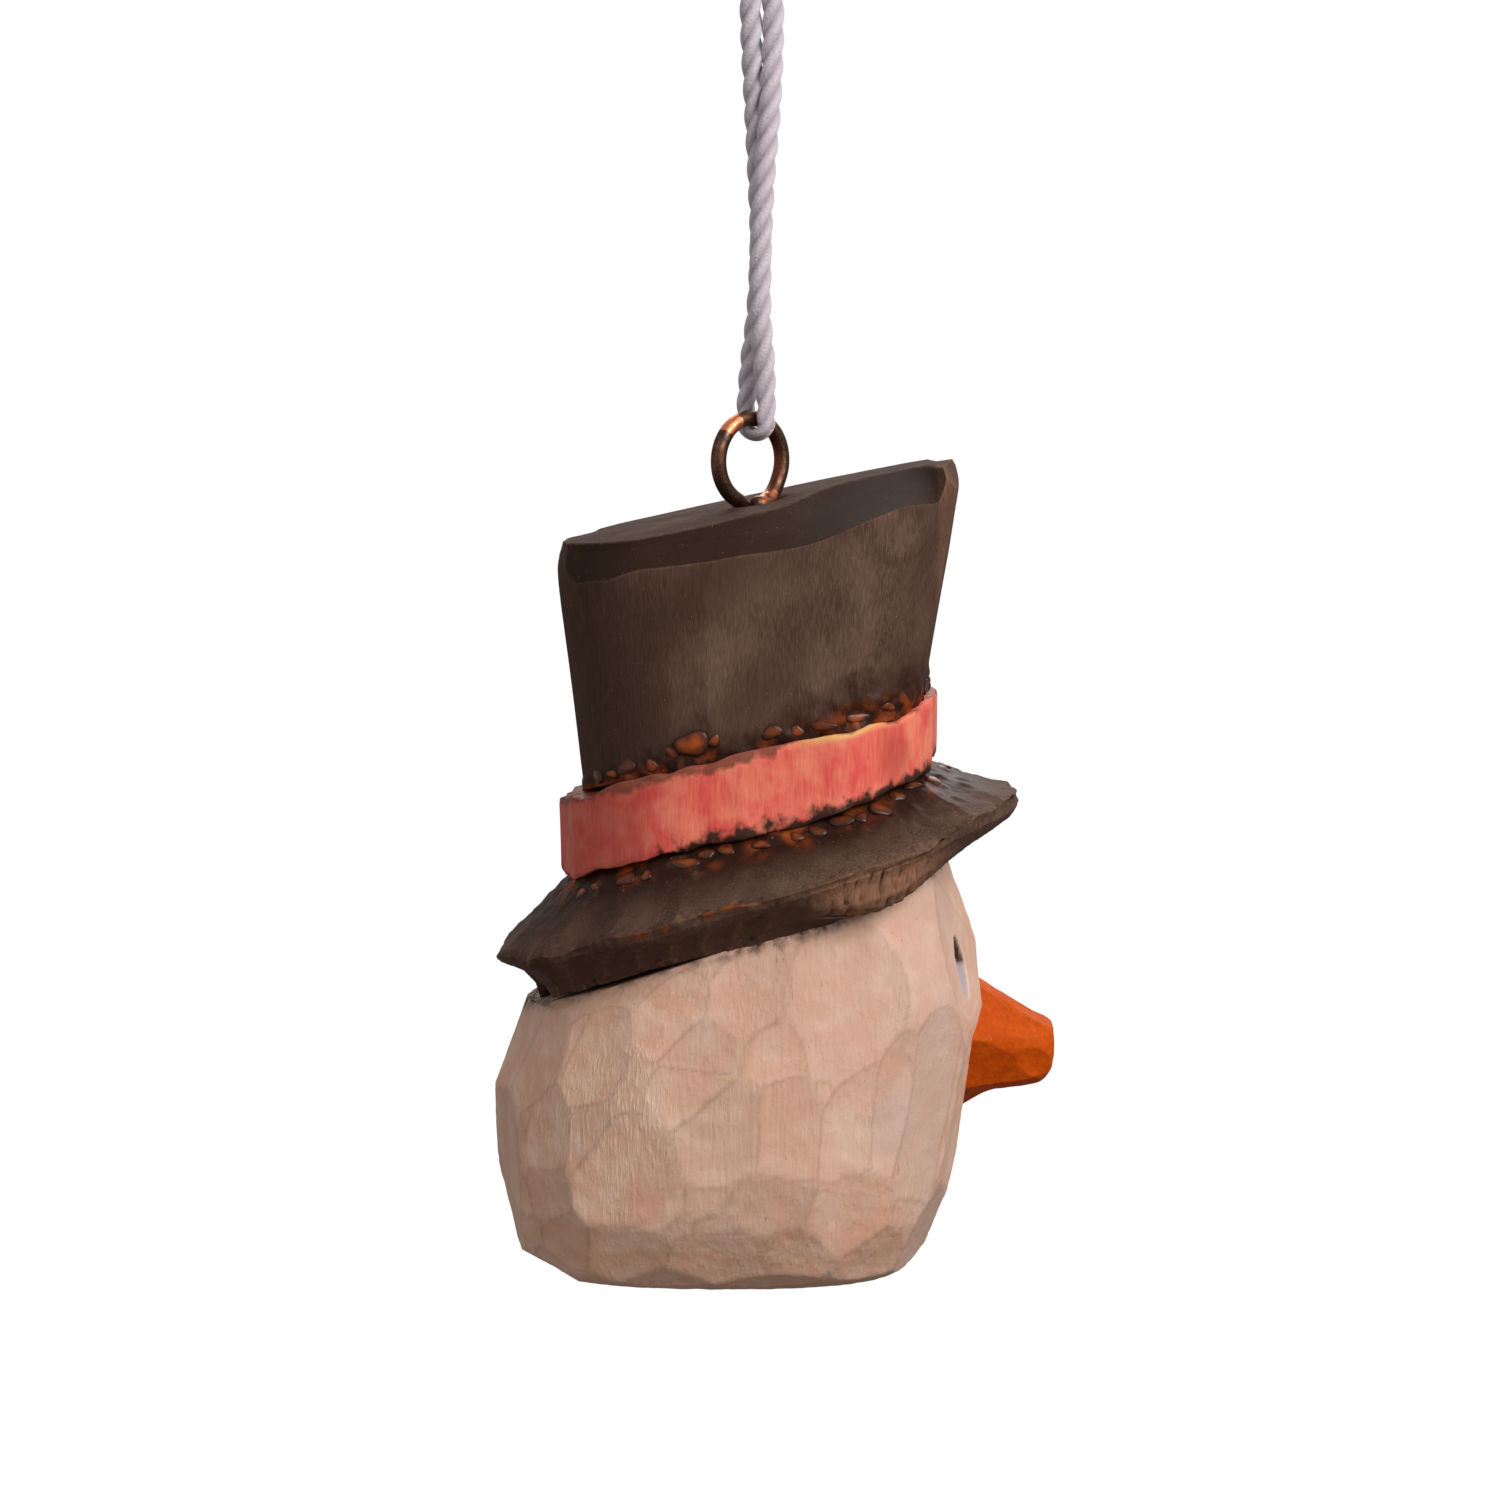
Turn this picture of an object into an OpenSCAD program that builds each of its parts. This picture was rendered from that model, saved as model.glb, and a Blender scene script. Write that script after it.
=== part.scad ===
// Hanging wooden ornament: a carved snowman head in a tilted top hat.
// A screw eye in the hat's top hangs in a loop of twisted cotton cord.
// Millimetres, +Z up, +X towards the nose. The origin is the middle of the cord's knot.
// Heights of the wooden pieces are counted up from the flat underside of the head.

/* [Head] */
// Length of the flat underside, back to front
base_len = 31; // [26:0.5:34]
// Length of the head at its fullest, back to front
head_len = 43.5; // [41:0.5:46]
// Width of the head at its fullest, side to side
head_w = 40; // [37:0.5:43]
// Depth of each carved eye cut
eye_cut_depth = 1.3; // [0.8:0.1:1.8]

/* [Nose] */
// How far the nose reaches in front of the origin's vertical
nose_reach = 27; // [25:0.2:29]
// Width of the nose at its blunt tip
nose_tip_w = 6; // [4:0.5:7]

/* [Hat] */
// Length of the brim, back to front
brim_len = 46.4; // [44:0.2:50]
// Width of the brim, side to side
brim_w = 44; // [42:0.5:47]
// Rise of the hat's seams from back to front, in mm per mm
hat_tilt = 0.3; // [0.26:0.01:0.33]
// Length of the crown at its top, back to front
crown_len = 35.8; // [34:0.2:37]
// Width of the crown at its top, side to side
crown_w = 34.4; // [32:0.2:36]
// How far the band stands proud of the crown
band_proud = 0.8; // [0.4:0.1:1.2]

/* [Screw eye] */
// Outer diameter of the ring
eye_od = 9; // [8.5:0.1:9.4]
// Diameter of the ring's wire
eye_wire = 1.4; // [1.2:0.1:1.6]
// Length of the threaded shank in the wood
shank_len = 10; // [8:0.5:14]
// Turn of the ring about the vertical, from the snowman's own fore-and-aft plane
eye_turn = 42; // [0:1:60]

/* [Cord] */
// Diameter of the twisted cotton cord
cord_d = 2; // [1.8:0.1:2.1]
// Diameter of the knot that the loop hangs by
knot_d = 9; // [8:0.2:9]
// Height of the knot's middle over the head's underside
hang_h = 119.5; // [119.5:0.5:122]

/* [Hidden] */
$fn = 48;

// Side facets round each carved piece
carved_sides = 14;
nose_sides = 10;
// The hat leans a little to one side as well: the seams fall towards +Y
side_tilt = -0.05;

// A seam is a tilted plane: [height on the vertical axis, rise along X, rise along Y]
head_seam = [31.2, hat_tilt + 0.055, side_tilt];
brim_seam = [41.2, hat_tilt, side_tilt];
band_seam = [47.5, hat_tilt - 0.015, side_tilt];
crown_top = [69.2, hat_tilt - 0.1, -0.01];

// Middle of the crown, fore and aft, and of the screw eye that stands on it
eye_x = -0.6;
eye_r = (eye_od - eye_wire) / 2;
eye_h = 72.7;
eye_foot_h = eye_h - eye_od / 2;
// Pilot hole and dished seat in the crown; each leaves the screw eye free to turn
thread_r = eye_wire / 2 + 0.2;
pilot_r = thread_r + 0.05;
thread_pitch = 0.8;
foot_clearance = 0.15;

// The cord's U is flattened where it bears on the ring's wire, and has slid a little way down it
cord_r = cord_d / 2;
bend_squash = 0.62;
bend_clearance = 0.1;
bend_r = eye_wire / 2 + bend_clearance + cord_r * bend_squash;
bend_slide = 10;
bend_reach = eye_r * sin(bend_slide);
bend_x = eye_x + bend_reach * cos(eye_turn);
bend_y = bend_reach * sin(eye_turn);
bend_h = eye_h + eye_r * cos(bend_slide);
knot_gap = 0.2;
tail_len = 5;
tail_angle = 35;
tail_spread = 1.5;
cord_sides = 8;

// Head sections from the underside up: [seam plane, back x, front x, half width, squareness]
head_sections = [
    [[0, 0, 0], 12.8 - base_len, 12.8, head_w * 0.3, 2.5],
    [[2, 0.02, 0], -21.6, 15.4, head_w * 0.42, 2.5],
    [[8.5, 0.02, 0], 19.9 - head_len, 17.8, head_w * 0.49, 2.5],
    [[16.5, 0.05, 0], 19.6 - head_len, 19.2, head_w * 0.5, 2.4],
    [[27, 0.15, 0], -21.2, 19.3, head_w * 0.475, 2.4],
    [head_seam, -19.8, 17, head_w * 0.44, 2.3],
];
// Brim: foot on the head, two rows of the undercut, the rim's lower, outermost and upper edges,
// foot of the band
brim_sections = [
    [head_seam, -19.4, 16.9, head_w * 0.435, 2.3],
    [[32.6, hat_tilt + 0.035, 0], -19.9, 18.4, head_w * 0.45, 2.3],
    [[34, hat_tilt + 0.015, 0], -21.2, 21.5, brim_w * 0.46, 2.3],
    [[35.2, hat_tilt + 0.01, 0], -brim_len / 2, brim_len / 2 - 0.3, brim_w * 0.49, 2.3],
    [[36, hat_tilt + 0.01, 0], -brim_len / 2 - 0.1, brim_len / 2, brim_w / 2, 2.3],
    [[36.8, hat_tilt + 0.01, 0], -brim_len / 2 + 0.3, brim_len / 2 - 0.4, brim_w * 0.49, 2.3],
    [brim_seam, -16.4, 15.3, 15.8, 2.5],
];
band_sections = [
    [brim_seam, -16.8 - band_proud, 15.4 + band_proud, 15.8 + band_proud, 2.6],
    [band_seam, -17 - band_proud, 15.5 + band_proud, 15.5 + band_proud, 2.6],
];
crown_sections = [
    [band_seam, -15.8, 15.3, 15.5, 2.7],
    [[57, 0.2, 0], -17, 16.6, 16.4, 2.8],
    [[66, 0.22, 0.01], -crown_len / 2, crown_len / 2, crown_w / 2, 2.9],
    [crown_top, -crown_len / 2 + 0.7, crown_len / 2 - 0.2, crown_w / 2 - 1, 2.8],
];
// Nose sections from root to tip: [x, lowest, highest, half width]
nose_sections = [
    [16.6, 12.6, 27.4, 6.4],
    [18.6, 13.8, 26.6, 6],
    [20.9, 15.4, 25.2, 5],
    [nose_reach - 0.9, 15.9, 22.4, nose_tip_w / 2],
    [nose_reach, 16.8, 21.4, nose_tip_w / 2 - 0.9],
];

// Eye cuts: a V-edged wheel of this radius takes out each lens-shaped notch.
// At the eyes the face is turned outwards a little from the nose's direction
eye_wheel_r = 4.5;
eye_side = 8.6;
eye_mid_h = 27.8;
eye_front_x = 17.6;
face_turn = 20;

// The cord starts just under the knot, so that it can swing there
cord_top_h = hang_h - knot_d / 2 - knot_gap;
// Each leg of the cord, from the knot down to the ring: [x, y, height]
front_leg = [
    [1.4, 0, cord_top_h], [1.4, -0.1, 110], [1.15, -0.5, 104], [0.65, -0.9, 98], [0.35, -1, 92],
    [0.3, -1, 86], [0.65, -0.8, 81],
];
back_leg = [
    [-0.6, 0, cord_top_h], [-0.5, 0.1, 110], [-0.2, 0.6, 104], [0.1, 1, 98], [0.3, 1.1, 92],
    [0, 1.2, 86], [-0.6, 1.3, 81],
];
// The U lies across the ring's wire, so it is turned with the ring
bend_steps = 6;
bend = [for (k = [0:bend_steps]) let (a = 180 * k / bend_steps) [
    bend_x + bend_r * cos(a) * sin(eye_turn), bend_y - bend_r * cos(a) * cos(eye_turn), bend_h - bend_r * sin(a)]];
bend_half = [for (k = [0:bend_steps]) bend_squash * cord_r];
route = concat(front_leg, bend, reverse(back_leg));
leg_half = [for (p = front_leg) cord_r];
route_r = concat(leg_half, bend_half, leg_half);

function reverse(list) = [for (i = [len(list) - 1:-1:0]) list[i]];

function signed_power(v, p) = sign(v) * pow(abs(v), p);

function plane_height(plane, x, y) = plane[0] + plane[1] * x + plane[2] * y;

// A section's outline: a rounded rectangle cut by its seam plane
function outline(s) = [
    for (i = [0:carved_sides - 1])
        let (
            a = 360 * i / carved_sides,
            x = (s[1] + s[2]) / 2 + (s[2] - s[1]) / 2 * signed_power(cos(a), 2 / s[4]),
            y = s[3] * signed_power(sin(a), 2 / s[4])
        )
        [x, y, plane_height(s[0], x, y)]
];

function nose_outline(s) = [
    for (i = [0:nose_sides - 1])
        let (a = 360 * (i + 0.5) / nose_sides)
        [s[0], s[3] * cos(a), (s[1] + s[2]) / 2 + (s[2] - s[1]) / 2 * sin(a)]
];

// Skins a stack of equal outlines into one closed solid
module skin(rings) {
    n = len(rings[0]);
    last = len(rings) - 1;
    points = [for (r = rings) for (p = r) p];
    sides = [
        for (k = [0:last - 1])
            for (i = [0:n - 1])
                let (a = k * n + i, b = k * n + (i + 1) % n)
                each [[a, a + n, b + n], [a, b + n, b]]
    ];
    bottom = [for (i = [0:n - 1]) i];
    top = [for (i = [n - 1:-1:0]) last * n + i];
    polyhedron(points, concat([bottom, top], sides));
}

function unit(v) = v / norm(v);

// Direction of the route at each of its points
function direction(path, i) =
    unit(path[min(i + 1, len(path) - 1)] - path[max(i - 1, 0)]);

// Rings of a tube round the route; each ring is squared to the route's direction
function tube_rings(path, half, side) = [
    for (i = [0:len(path) - 1])
        let (
            d = direction(path, i),
            u = unit(cross(side, d)),
            v = cross(d, u)
        )
        [for (k = [0:cord_sides - 1]) let (a = 360 * k / cord_sides) path[i] + half[i] * (u * cos(a) + v * sin(a))]
];

// Puts the wooden pieces and the screw eye at their height under the knot
module hung() {
    translate([0, 0, -hang_h]) children();
}

module knot_tail(side) {
    translate([0, side * tail_spread, 0])
        rotate([-side * tail_angle, 0, 0])
            cylinder(d = cord_d, h = knot_d / 2 + tail_len);
}

module cord_knot() {
    color("lavender") {
        sphere(d = knot_d);
        knot_tail(-1);
        knot_tail(1);
    }
}

module hanging_cord() {
    across = [cos(eye_turn), sin(eye_turn), 0];
    color("lavender")
        hung() skin(tube_rings(route, route_r, across));
}

// Shank profile: a stack of thread ridges over a point
module shank() {
    ridges = floor((shank_len - 2) / thread_pitch);
    root_r = eye_wire / 2 - 0.05;
    profile = concat(
        [[0, 0], [root_r, 0]],
        [for (k = [0:ridges - 1])
            each [[root_r, -1 - k * thread_pitch], [thread_r, -1 - (k + 0.5) * thread_pitch]]],
        [[root_r, -1 - ridges * thread_pitch], [0, -shank_len]]
    );
    rotate_extrude() polygon(profile);
}

module screw_eye() {
    color("sienna")
        hung() {
            translate([eye_x, 0, eye_h])
                rotate([90, 0, eye_turn])
                    rotate_extrude()
                        translate([eye_r, 0]) circle(d = eye_wire);
            translate([eye_x, 0, eye_foot_h + eye_wire / 2]) shank();
        }
}

module hat_crown() {
    color("dimgray")
        hung() difference() {
            skin([for (s = crown_sections) outline(s)]);
            // Dished seat that the ring's foot turns in
            translate([eye_x, 0, eye_h]) sphere(r = eye_od / 2 + foot_clearance);
            // Pilot hole for the shank
            translate([eye_x, 0, eye_foot_h + eye_wire / 2 - shank_len - foot_clearance])
                cylinder(r = pilot_r, h = shank_len);
        }
}

module hat_band() {
    color("indianred")
        hung() skin([for (s = band_sections) outline(s)]);
}

module hat_brim() {
    color("dimgray")
        hung() skin([for (s = brim_sections) outline(s)]);
}

// The V-edged wheel that cuts one eye, on the side given
module eye_cutter(side) {
    translate([eye_front_x - eye_cut_depth, side * eye_side, eye_mid_h])
        rotate([0, 0, side * face_turn])
            translate([eye_wheel_r, 0, 0])
                rotate([90, 0, 0]) {
                    cylinder(r1 = eye_wheel_r, r2 = 0, h = eye_wheel_r);
                    mirror([0, 0, 1]) cylinder(r1 = eye_wheel_r, r2 = 0, h = eye_wheel_r);
                }
}

module nose_body() {
    skin([for (s = nose_sections) nose_outline(s)]);
}

module head() {
    color("bisque")
        hung() difference() {
            skin([for (s = head_sections) outline(s)]);
            nose_body();
            eye_cutter(-1);
            eye_cutter(1);
        }
}

module carrot_nose() {
    color("darkorange")
        hung() nose_body();
}

cord_knot();
hanging_cord();
screw_eye();
hat_crown();
hat_band();
hat_brim();
head();
carrot_nose();
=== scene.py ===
"""A carved wooden snowman head in a tilted top hat, hung by a screw eye from twisted cotton cord.

Points are worked out in millimetres. z is measured from the middle of the knot; the wooden pieces
are given by their height above the flat underside of the head.
"""

import math

import bpy
import numpy as np
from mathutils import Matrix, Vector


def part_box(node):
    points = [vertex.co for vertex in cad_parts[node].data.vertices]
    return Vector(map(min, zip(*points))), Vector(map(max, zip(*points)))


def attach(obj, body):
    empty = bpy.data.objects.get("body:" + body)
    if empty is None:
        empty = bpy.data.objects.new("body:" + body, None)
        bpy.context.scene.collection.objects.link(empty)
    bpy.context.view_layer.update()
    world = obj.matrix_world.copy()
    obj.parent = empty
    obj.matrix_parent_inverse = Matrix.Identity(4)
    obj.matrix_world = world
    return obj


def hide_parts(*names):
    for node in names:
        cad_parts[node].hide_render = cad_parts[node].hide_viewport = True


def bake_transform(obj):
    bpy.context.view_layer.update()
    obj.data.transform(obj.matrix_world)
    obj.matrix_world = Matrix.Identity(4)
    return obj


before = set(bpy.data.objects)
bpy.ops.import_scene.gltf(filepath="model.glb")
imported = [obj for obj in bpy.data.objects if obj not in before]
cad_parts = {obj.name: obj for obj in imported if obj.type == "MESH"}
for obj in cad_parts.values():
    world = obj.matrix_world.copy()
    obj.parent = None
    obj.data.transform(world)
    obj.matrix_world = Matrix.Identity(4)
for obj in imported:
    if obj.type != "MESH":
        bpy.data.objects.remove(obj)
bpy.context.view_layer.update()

# ---- Camera ---------------------------------------------------------------------------------
# A long lens a little above the head, on the snowman's right side, so that the nose points right.

view_distance = 0.39375
view_rise = math.radians(6)
view_target = (-0.00063, 0, -0.07281)

camera = bpy.data.objects.new("camera", bpy.data.cameras.new("camera"))
camera.data.lens = 105
camera.data.sensor_width = 36
camera.data.clip_start = 0.01
camera.data.clip_end = 20
camera.location = (
    view_target[0],
    view_target[1] - view_distance * math.cos(view_rise),
    view_target[2] + view_distance * math.sin(view_rise),
)
camera.rotation_euler = (math.pi / 2 - view_rise, 0, 0)
bpy.context.scene.collection.objects.link(camera)
bpy.context.scene.camera = camera

# ---- Hanging cord ---------------------------------------------------------------------------
# White cotton cord of three strands twisted together, doubled: down from the knot, round the ring's
# wire in a U, and back up. It is slack enough to lie flat where it bears on the wire.

underside_z = round(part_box("head")[0].z * 1000, 3)

cord_d = 2.0
cord_lay = 7.0
strand_offset = 0.4
strand_r = 0.6
bend_squash = 0.62
ring_x = -0.6
ring_h = 72.7
ring_r = 3.8
ring_turn = math.radians(42)
wire_d = 1.4
bend_slack = 0.1
bend_r = wire_d / 2 + bend_slack + cord_d / 2 * bend_squash
bend_slide = math.radians(10)

# Each leg from the knot down to the ring: [x, y, height]
front_leg = np.array([
    [1.4, 0, 114.8], [1.4, -0.1, 110], [1.15, -0.5, 104], [0.65, -0.9, 98], [0.35, -1, 92],
    [0.3, -1, 86], [0.65, -0.8, 81],
])
back_leg = np.array([
    [-0.6, 0, 114.8], [-0.5, 0.1, 110], [-0.2, 0.6, 104], [0.1, 1, 98], [0.3, 1.1, 92],
    [0, 1.2, 86], [-0.6, 1.3, 81],
])
# The ring's own directions, and the U of the cord round the wire a little to one side of its top
upward = np.array([0, 0, 1])
ring_across = np.array([math.cos(ring_turn), math.sin(ring_turn), 0])
ring_axis = np.array([math.sin(ring_turn), -math.cos(ring_turn), 0])
ring_mid = np.array([ring_x, 0, ring_h])
bend_out = math.sin(bend_slide) * ring_across + math.cos(bend_slide) * upward
bend_angle = np.linspace(0, np.pi, 7)[:, None]
bend_curve = np.cos(bend_angle) * ring_axis - np.sin(bend_angle) * upward
bend = ring_mid + ring_r * bend_out + bend_r * bend_curve


def through(points, count):
    """A smooth line of count points through the given rows: each stretch is a cubic whose slope at a
    row is half the step between that row's neighbours."""
    rows = np.asarray(points, float)
    place = np.linspace(0, len(rows) - 1, count)
    start = np.minimum(place.astype(int), len(rows) - 2)
    share = (place - start)[:, None]
    longer = np.vstack([2 * rows[0] - rows[1], rows, 2 * rows[-1] - rows[-2]])
    a, b, c, d = (longer[start + k] for k in range(4))
    bent = (2 * a - 5 * b + 4 * c - d) * share**2 + (3 * b - a - 3 * c + d) * share**3
    return 0.5 * (2 * b + (c - a) * share + bent)


def run_length(line):
    """Length of the line up to each of its points."""
    steps = np.linalg.norm(np.diff(line, axis=0), axis=1)
    return np.concatenate([[0], np.cumsum(steps)])


def evenly(line, step):
    """The same line with its points an equal step apart."""
    gone = run_length(line)
    marks = np.linspace(0, gone[-1], int(round(gone[-1] / step)) + 1)
    return np.stack([np.interp(marks, gone, line[:, k]) for k in range(line.shape[1])], axis=1)


def unit(vectors):
    return vectors / np.linalg.norm(vectors, axis=-1, keepdims=True)


def full_turn(columns):
    """One row of angles, in equal steps once round."""
    return np.linspace(0, 2 * np.pi, columns, endpoint=False)[None, :]


def tube(line, side, radius):
    """Points round a line: at each point, radius (rows, columns) is measured out along the two
    directions square to the line, the first of them square to side as well."""
    along = unit(np.gradient(line, axis=0))
    across = unit(np.cross(side, along))
    lift = np.cross(along, across)
    turn = full_turn(radius.shape[1])[..., None]
    ring = across[:, None] * np.cos(turn) + lift[:, None] * np.sin(turn)
    return line[:, None] + ring * radius[..., None]


def strands(gone, columns):
    """Outline of three round strands twisted right-handed: the distance out to the nearest strand's
    far side at each angle, where the strands' angle grows by a full turn in one lay."""
    apart = 2 * np.pi / 3
    turned = full_turn(columns) - 2 * np.pi * gone[:, None] / cord_lay
    inside = (turned + apart / 2) % apart - apart / 2
    chord = np.maximum(strand_r**2 - (strand_offset * np.sin(inside)) ** 2, 0.0)
    return strand_offset * np.cos(inside) + np.sqrt(chord)


def closed_skin(grid):
    """Vertices and faces of a grid of points whose columns go round and whose first and last rows
    are closed by a point in the middle. Faces look outwards where columns turn with the rows."""
    rows, columns = grid.shape[:2]
    points = np.vstack([grid.reshape(-1, 3), grid[0].mean(axis=0), grid[-1].mean(axis=0)])
    here = np.arange(columns)
    after = (here + 1) % columns
    low = np.arange(rows - 1)[:, None] * columns
    high = low + columns
    quads = np.stack([low + here, low + after, high + after, high + here], axis=-1)
    first = rows * columns
    top = (rows - 1) * columns
    start = np.stack([np.full(columns, first), after, here], axis=-1)
    end = np.stack([np.full(columns, first + 1), top + here, top + after], axis=-1)
    return points, quads.reshape(-1, 4).tolist() + start.tolist() + end.tolist()


def make_piece(name, grids, body, slot, finish, *nodes):
    """One object from one or more closed skins, in metres, smooth shaded, with its finish. It rides
    on a body, or on none."""
    points, faces, count = [], [], 0
    for grid in grids:
        skin_points, skin_faces = closed_skin(grid)
        points.append(skin_points)
        faces += [[corner + count for corner in face] for face in skin_faces]
        count += len(skin_points)
    mesh = bpy.data.meshes.new(name)
    mesh.from_pydata((np.vstack(points) / 1000).tolist(), [], faces)
    mesh.shade_smooth()
    mesh.materials.append(finish)
    piece = bpy.data.objects.new(name, mesh)
    bpy.context.scene.collection.objects.link(piece)
    if body:
        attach(piece, body)
    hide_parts(*nodes)
    return piece


def mark(piece, name, values):
    """A number at each point of the piece, for its material to read."""
    attribute = piece.data.attributes.new(name, "FLOAT", "POINT")
    attribute.data.foreach_set("value", np.asarray(values, np.float32))


def put_marks(piece, **marks):
    """Marks on a piece of one skin, given on its grid; its two closing points take 0."""
    for name, values in marks.items():
        mark(piece, name, np.concatenate([values.ravel(), [0, 0]]))


def paint(red, green, blue):
    """A colour as a screen shows it, 0 to 255, in the linear light that a shader works in."""
    shown = np.array([red, green, blue]) / 255
    linear = np.where(shown <= 0.04045, shown / 12.92, ((shown + 0.055) / 1.055) ** 2.4)
    return (*linear.tolist(), 1.0)


def add(tree, kind, inputs=(), **settings):
    """One shader node. inputs gives each socket a number, a colour or another node's output."""
    node = tree.nodes.new("ShaderNode" + kind)
    for name, value in settings.items():
        setattr(node, name, value)
    for socket, value in dict(inputs).items():
        if isinstance(value, bpy.types.NodeSocket):
            tree.links.new(value, node.inputs[socket])
        else:
            node.inputs[socket].default_value = value
    return node


def new_finish(name, **sockets):
    """A finish with its shader's own sockets set."""
    finish = bpy.data.materials.new(name)
    finish.use_nodes = True
    shader = finish.node_tree.nodes["Principled BSDF"]
    for socket, value in sockets.items():
        shader.inputs[socket.replace("_", " ")].default_value = value
    return finish, finish.node_tree


def join(tree, colour, height, depth, strength, roughness=None):
    """Gives a finish its colour, its relief and, where it varies, its roughness. The height of the
    relief is 0 to 1, and its depth is in mm."""
    shader = tree.nodes["Principled BSDF"]
    relief = add(tree, "Bump", {"Height": height, "Distance": depth / 1000, "Strength": strength})
    tree.links.new(colour, shader.inputs["Base Color"])
    tree.links.new(relief.outputs[0], shader.inputs["Normal"])
    if roughness is not None:
        tree.links.new(roughness, shader.inputs["Roughness"])


def rescaled(tree, value, low, high, first=0.0, last=1.0):
    """first to last as the value goes from low to high, and level beyond both."""
    sockets = {"Value": value, "From Min": low, "From Max": high, "To Min": first, "To Max": last}
    return add(tree, "MapRange", sockets).outputs[0]


def blotches(tree, size, low, high, tall=1.0, detail=4.0, shift=0.0):
    """0 to 1 over blotches of that size in mm, drawn out `tall` times up and down the grain: 0 where
    the noise is below low, 1 where it is above high. A shift gives another set of them."""
    place = add(tree, "TexCoord").outputs["Object"]
    scale = (1000 / size, 1000 / size, 1000 / size / tall)
    moved = {"Vector": place, "Location": (shift, shift, shift), "Scale": scale}
    spread = add(tree, "Mapping", moved).outputs[0]
    noise = add(tree, "TexNoise", {"Vector": spread, "Scale": 1.0, "Detail": detail})
    return rescaled(tree, noise.outputs[0], low, high)


def read_mark(tree, name, low=0.0, high=1.0):
    """0 to 1 as the piece's own mark goes from low to high."""
    return rescaled(tree, add(tree, "Attribute", attribute_name=name).outputs["Fac"], low, high)


def times(tree, first, second):
    return add(tree, "Math", {0: first, 1: second}, operation="MULTIPLY").outputs[0]


def plus(tree, first, second):
    return add(tree, "Math", {0: first, 1: second}, operation="ADD").outputs[0]


def coats(tree, ground, *layers):
    """Colours laid one over another on a ground. Each layer is (where, how thickly, colour), and
    lies as thickly as the product of the first two, from 0 to 1."""
    colour = paint(*ground)
    for where, thickly, shade in layers:
        amount = where if thickly == 1 else times(tree, where, thickly)
        mix = add(tree, "Mix", {0: amount, 6: colour, 7: paint(*shade)}, data_type="RGBA")
        colour = mix.outputs[2]
    return colour


def cotton_finish():
    """Bleached cotton yarn: fine lines along each strand on a bluish white, with painted shade that
    greys it down in the lay between the strands.
    """
    finish, tree = new_finish("white_cotton", Roughness=0.9, Sheen_Weight=0.35, Sheen_Roughness=0.6)
    lines = blotches(tree, 0.2, 0.35, 0.7, detail=3)
    colour = coats(
        tree, (212, 202, 212),
        (lines, 0.5, (188, 176, 190)),
        # Painted shade: greyer down in the lay between the strands
        (read_mark(tree, "strand_depth"), 0.75, (150, 138, 152)),
    )
    join(tree, colour, lines, depth=0.06, strength=0.7)
    return finish


# Each row of the cord's line is [x, y, z, flatness]: 1 is round, and it is squashed on the wire
flatness = np.repeat([1, bend_squash, 1], [len(front_leg), len(bend), len(back_leg)])
cord_rows = np.column_stack([np.vstack([front_leg, bend, back_leg[::-1]]), flatness])
cord_line = evenly(through(cord_rows, 3000), 0.12)
cord_line[:, 2] += underside_z
cord_gone = run_length(cord_line[:, :3])
cord_columns = 60
cord_turn = full_turn(cord_columns)
# An oval of that flatness in place of a circle, thin towards the wire
oval = 1 / np.sqrt((np.cos(cord_turn) / cord_line[:, 3:]) ** 2 + np.sin(cord_turn) ** 2)
cord_outline = strands(cord_gone, cord_columns)
# How much nearer to the middle the outline is between two strands than on their crests
strand_dip = 0.31

cotton = cotton_finish()
cord_skin = tube(cord_line[:, :3], ring_across, cord_outline * oval)
cord = make_piece("cotton_cord", [cord_skin], None, "cotton", cotton, "hanging_cord")
# How far each point lies down in the lay, for the painted shade between the strands
put_marks(cord, strand_depth=(1 - cord_outline) / strand_dip)

# Loose fibre ends that stand out of the twist
fuzz_count = 620
bare_rows = 20
hair_r = 0.012
hair_start = 0.75
chance = np.random.default_rng(5)
hair_root = chance.integers(bare_rows, len(cord_line) - bare_rows, fuzz_count)
hair_out = unit(chance.normal(size=(fuzz_count, 3)))
hair_along = unit(np.gradient(cord_line[:, :3], axis=0))[hair_root]
hair_out = unit(hair_out - (hair_out * hair_along).sum(axis=1, keepdims=True) * hair_along)
hair_side = np.cross(hair_along, hair_out)
hair_reach = chance.uniform(0.1, 0.38, (fuzz_count, 1))
hair_lean = chance.uniform(-1.2, 1.2, (fuzz_count, 1))
hair_steps = np.linspace(0, 1, 5)[None, :, None]
hair_base = cord_line[hair_root, :3] + hair_out * hair_start
hair_line = (
    hair_base[:, None]
    + (hair_out * hair_reach)[:, None] * hair_steps
    + (hair_along * hair_lean * 0.6)[:, None] * hair_steps**2
    + (hair_side * chance.normal(0, 0.25, (fuzz_count, 1)))[:, None] * hair_steps**1.5
)
hair_ring = full_turn(3)[None, ..., None]
hair_skin = hair_line[:, :, None] + hair_r * (1.05 - hair_steps[..., None]) * (
    hair_side[:, None, None] * np.cos(hair_ring) + hair_along[:, None, None] * np.sin(hair_ring)
)
fuzz = make_piece("cord_fuzz", list(hair_skin), None, "cotton", cotton)

# The cord and its fuzz ride on no body; their transforms are baked into their points
for piece in (cord, fuzz):
    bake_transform(piece)

# ---- Knot -----------------------------------------------------------------------------------
# The two legs tied together in one overhand knot, which is what the loop hangs by. The cut ends
# stand up out of it and have begun to fray.

knot_r = 1.15
knot_gap = 0.42
knot_lane = 1.03
knot_pull = 0.97
fray_len = 1.6
knot_turn = np.linspace(knot_gap, 2 * np.pi - knot_gap, 26)
knot_reach = (2 + np.cos(3 * knot_turn)) * knot_r


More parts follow.
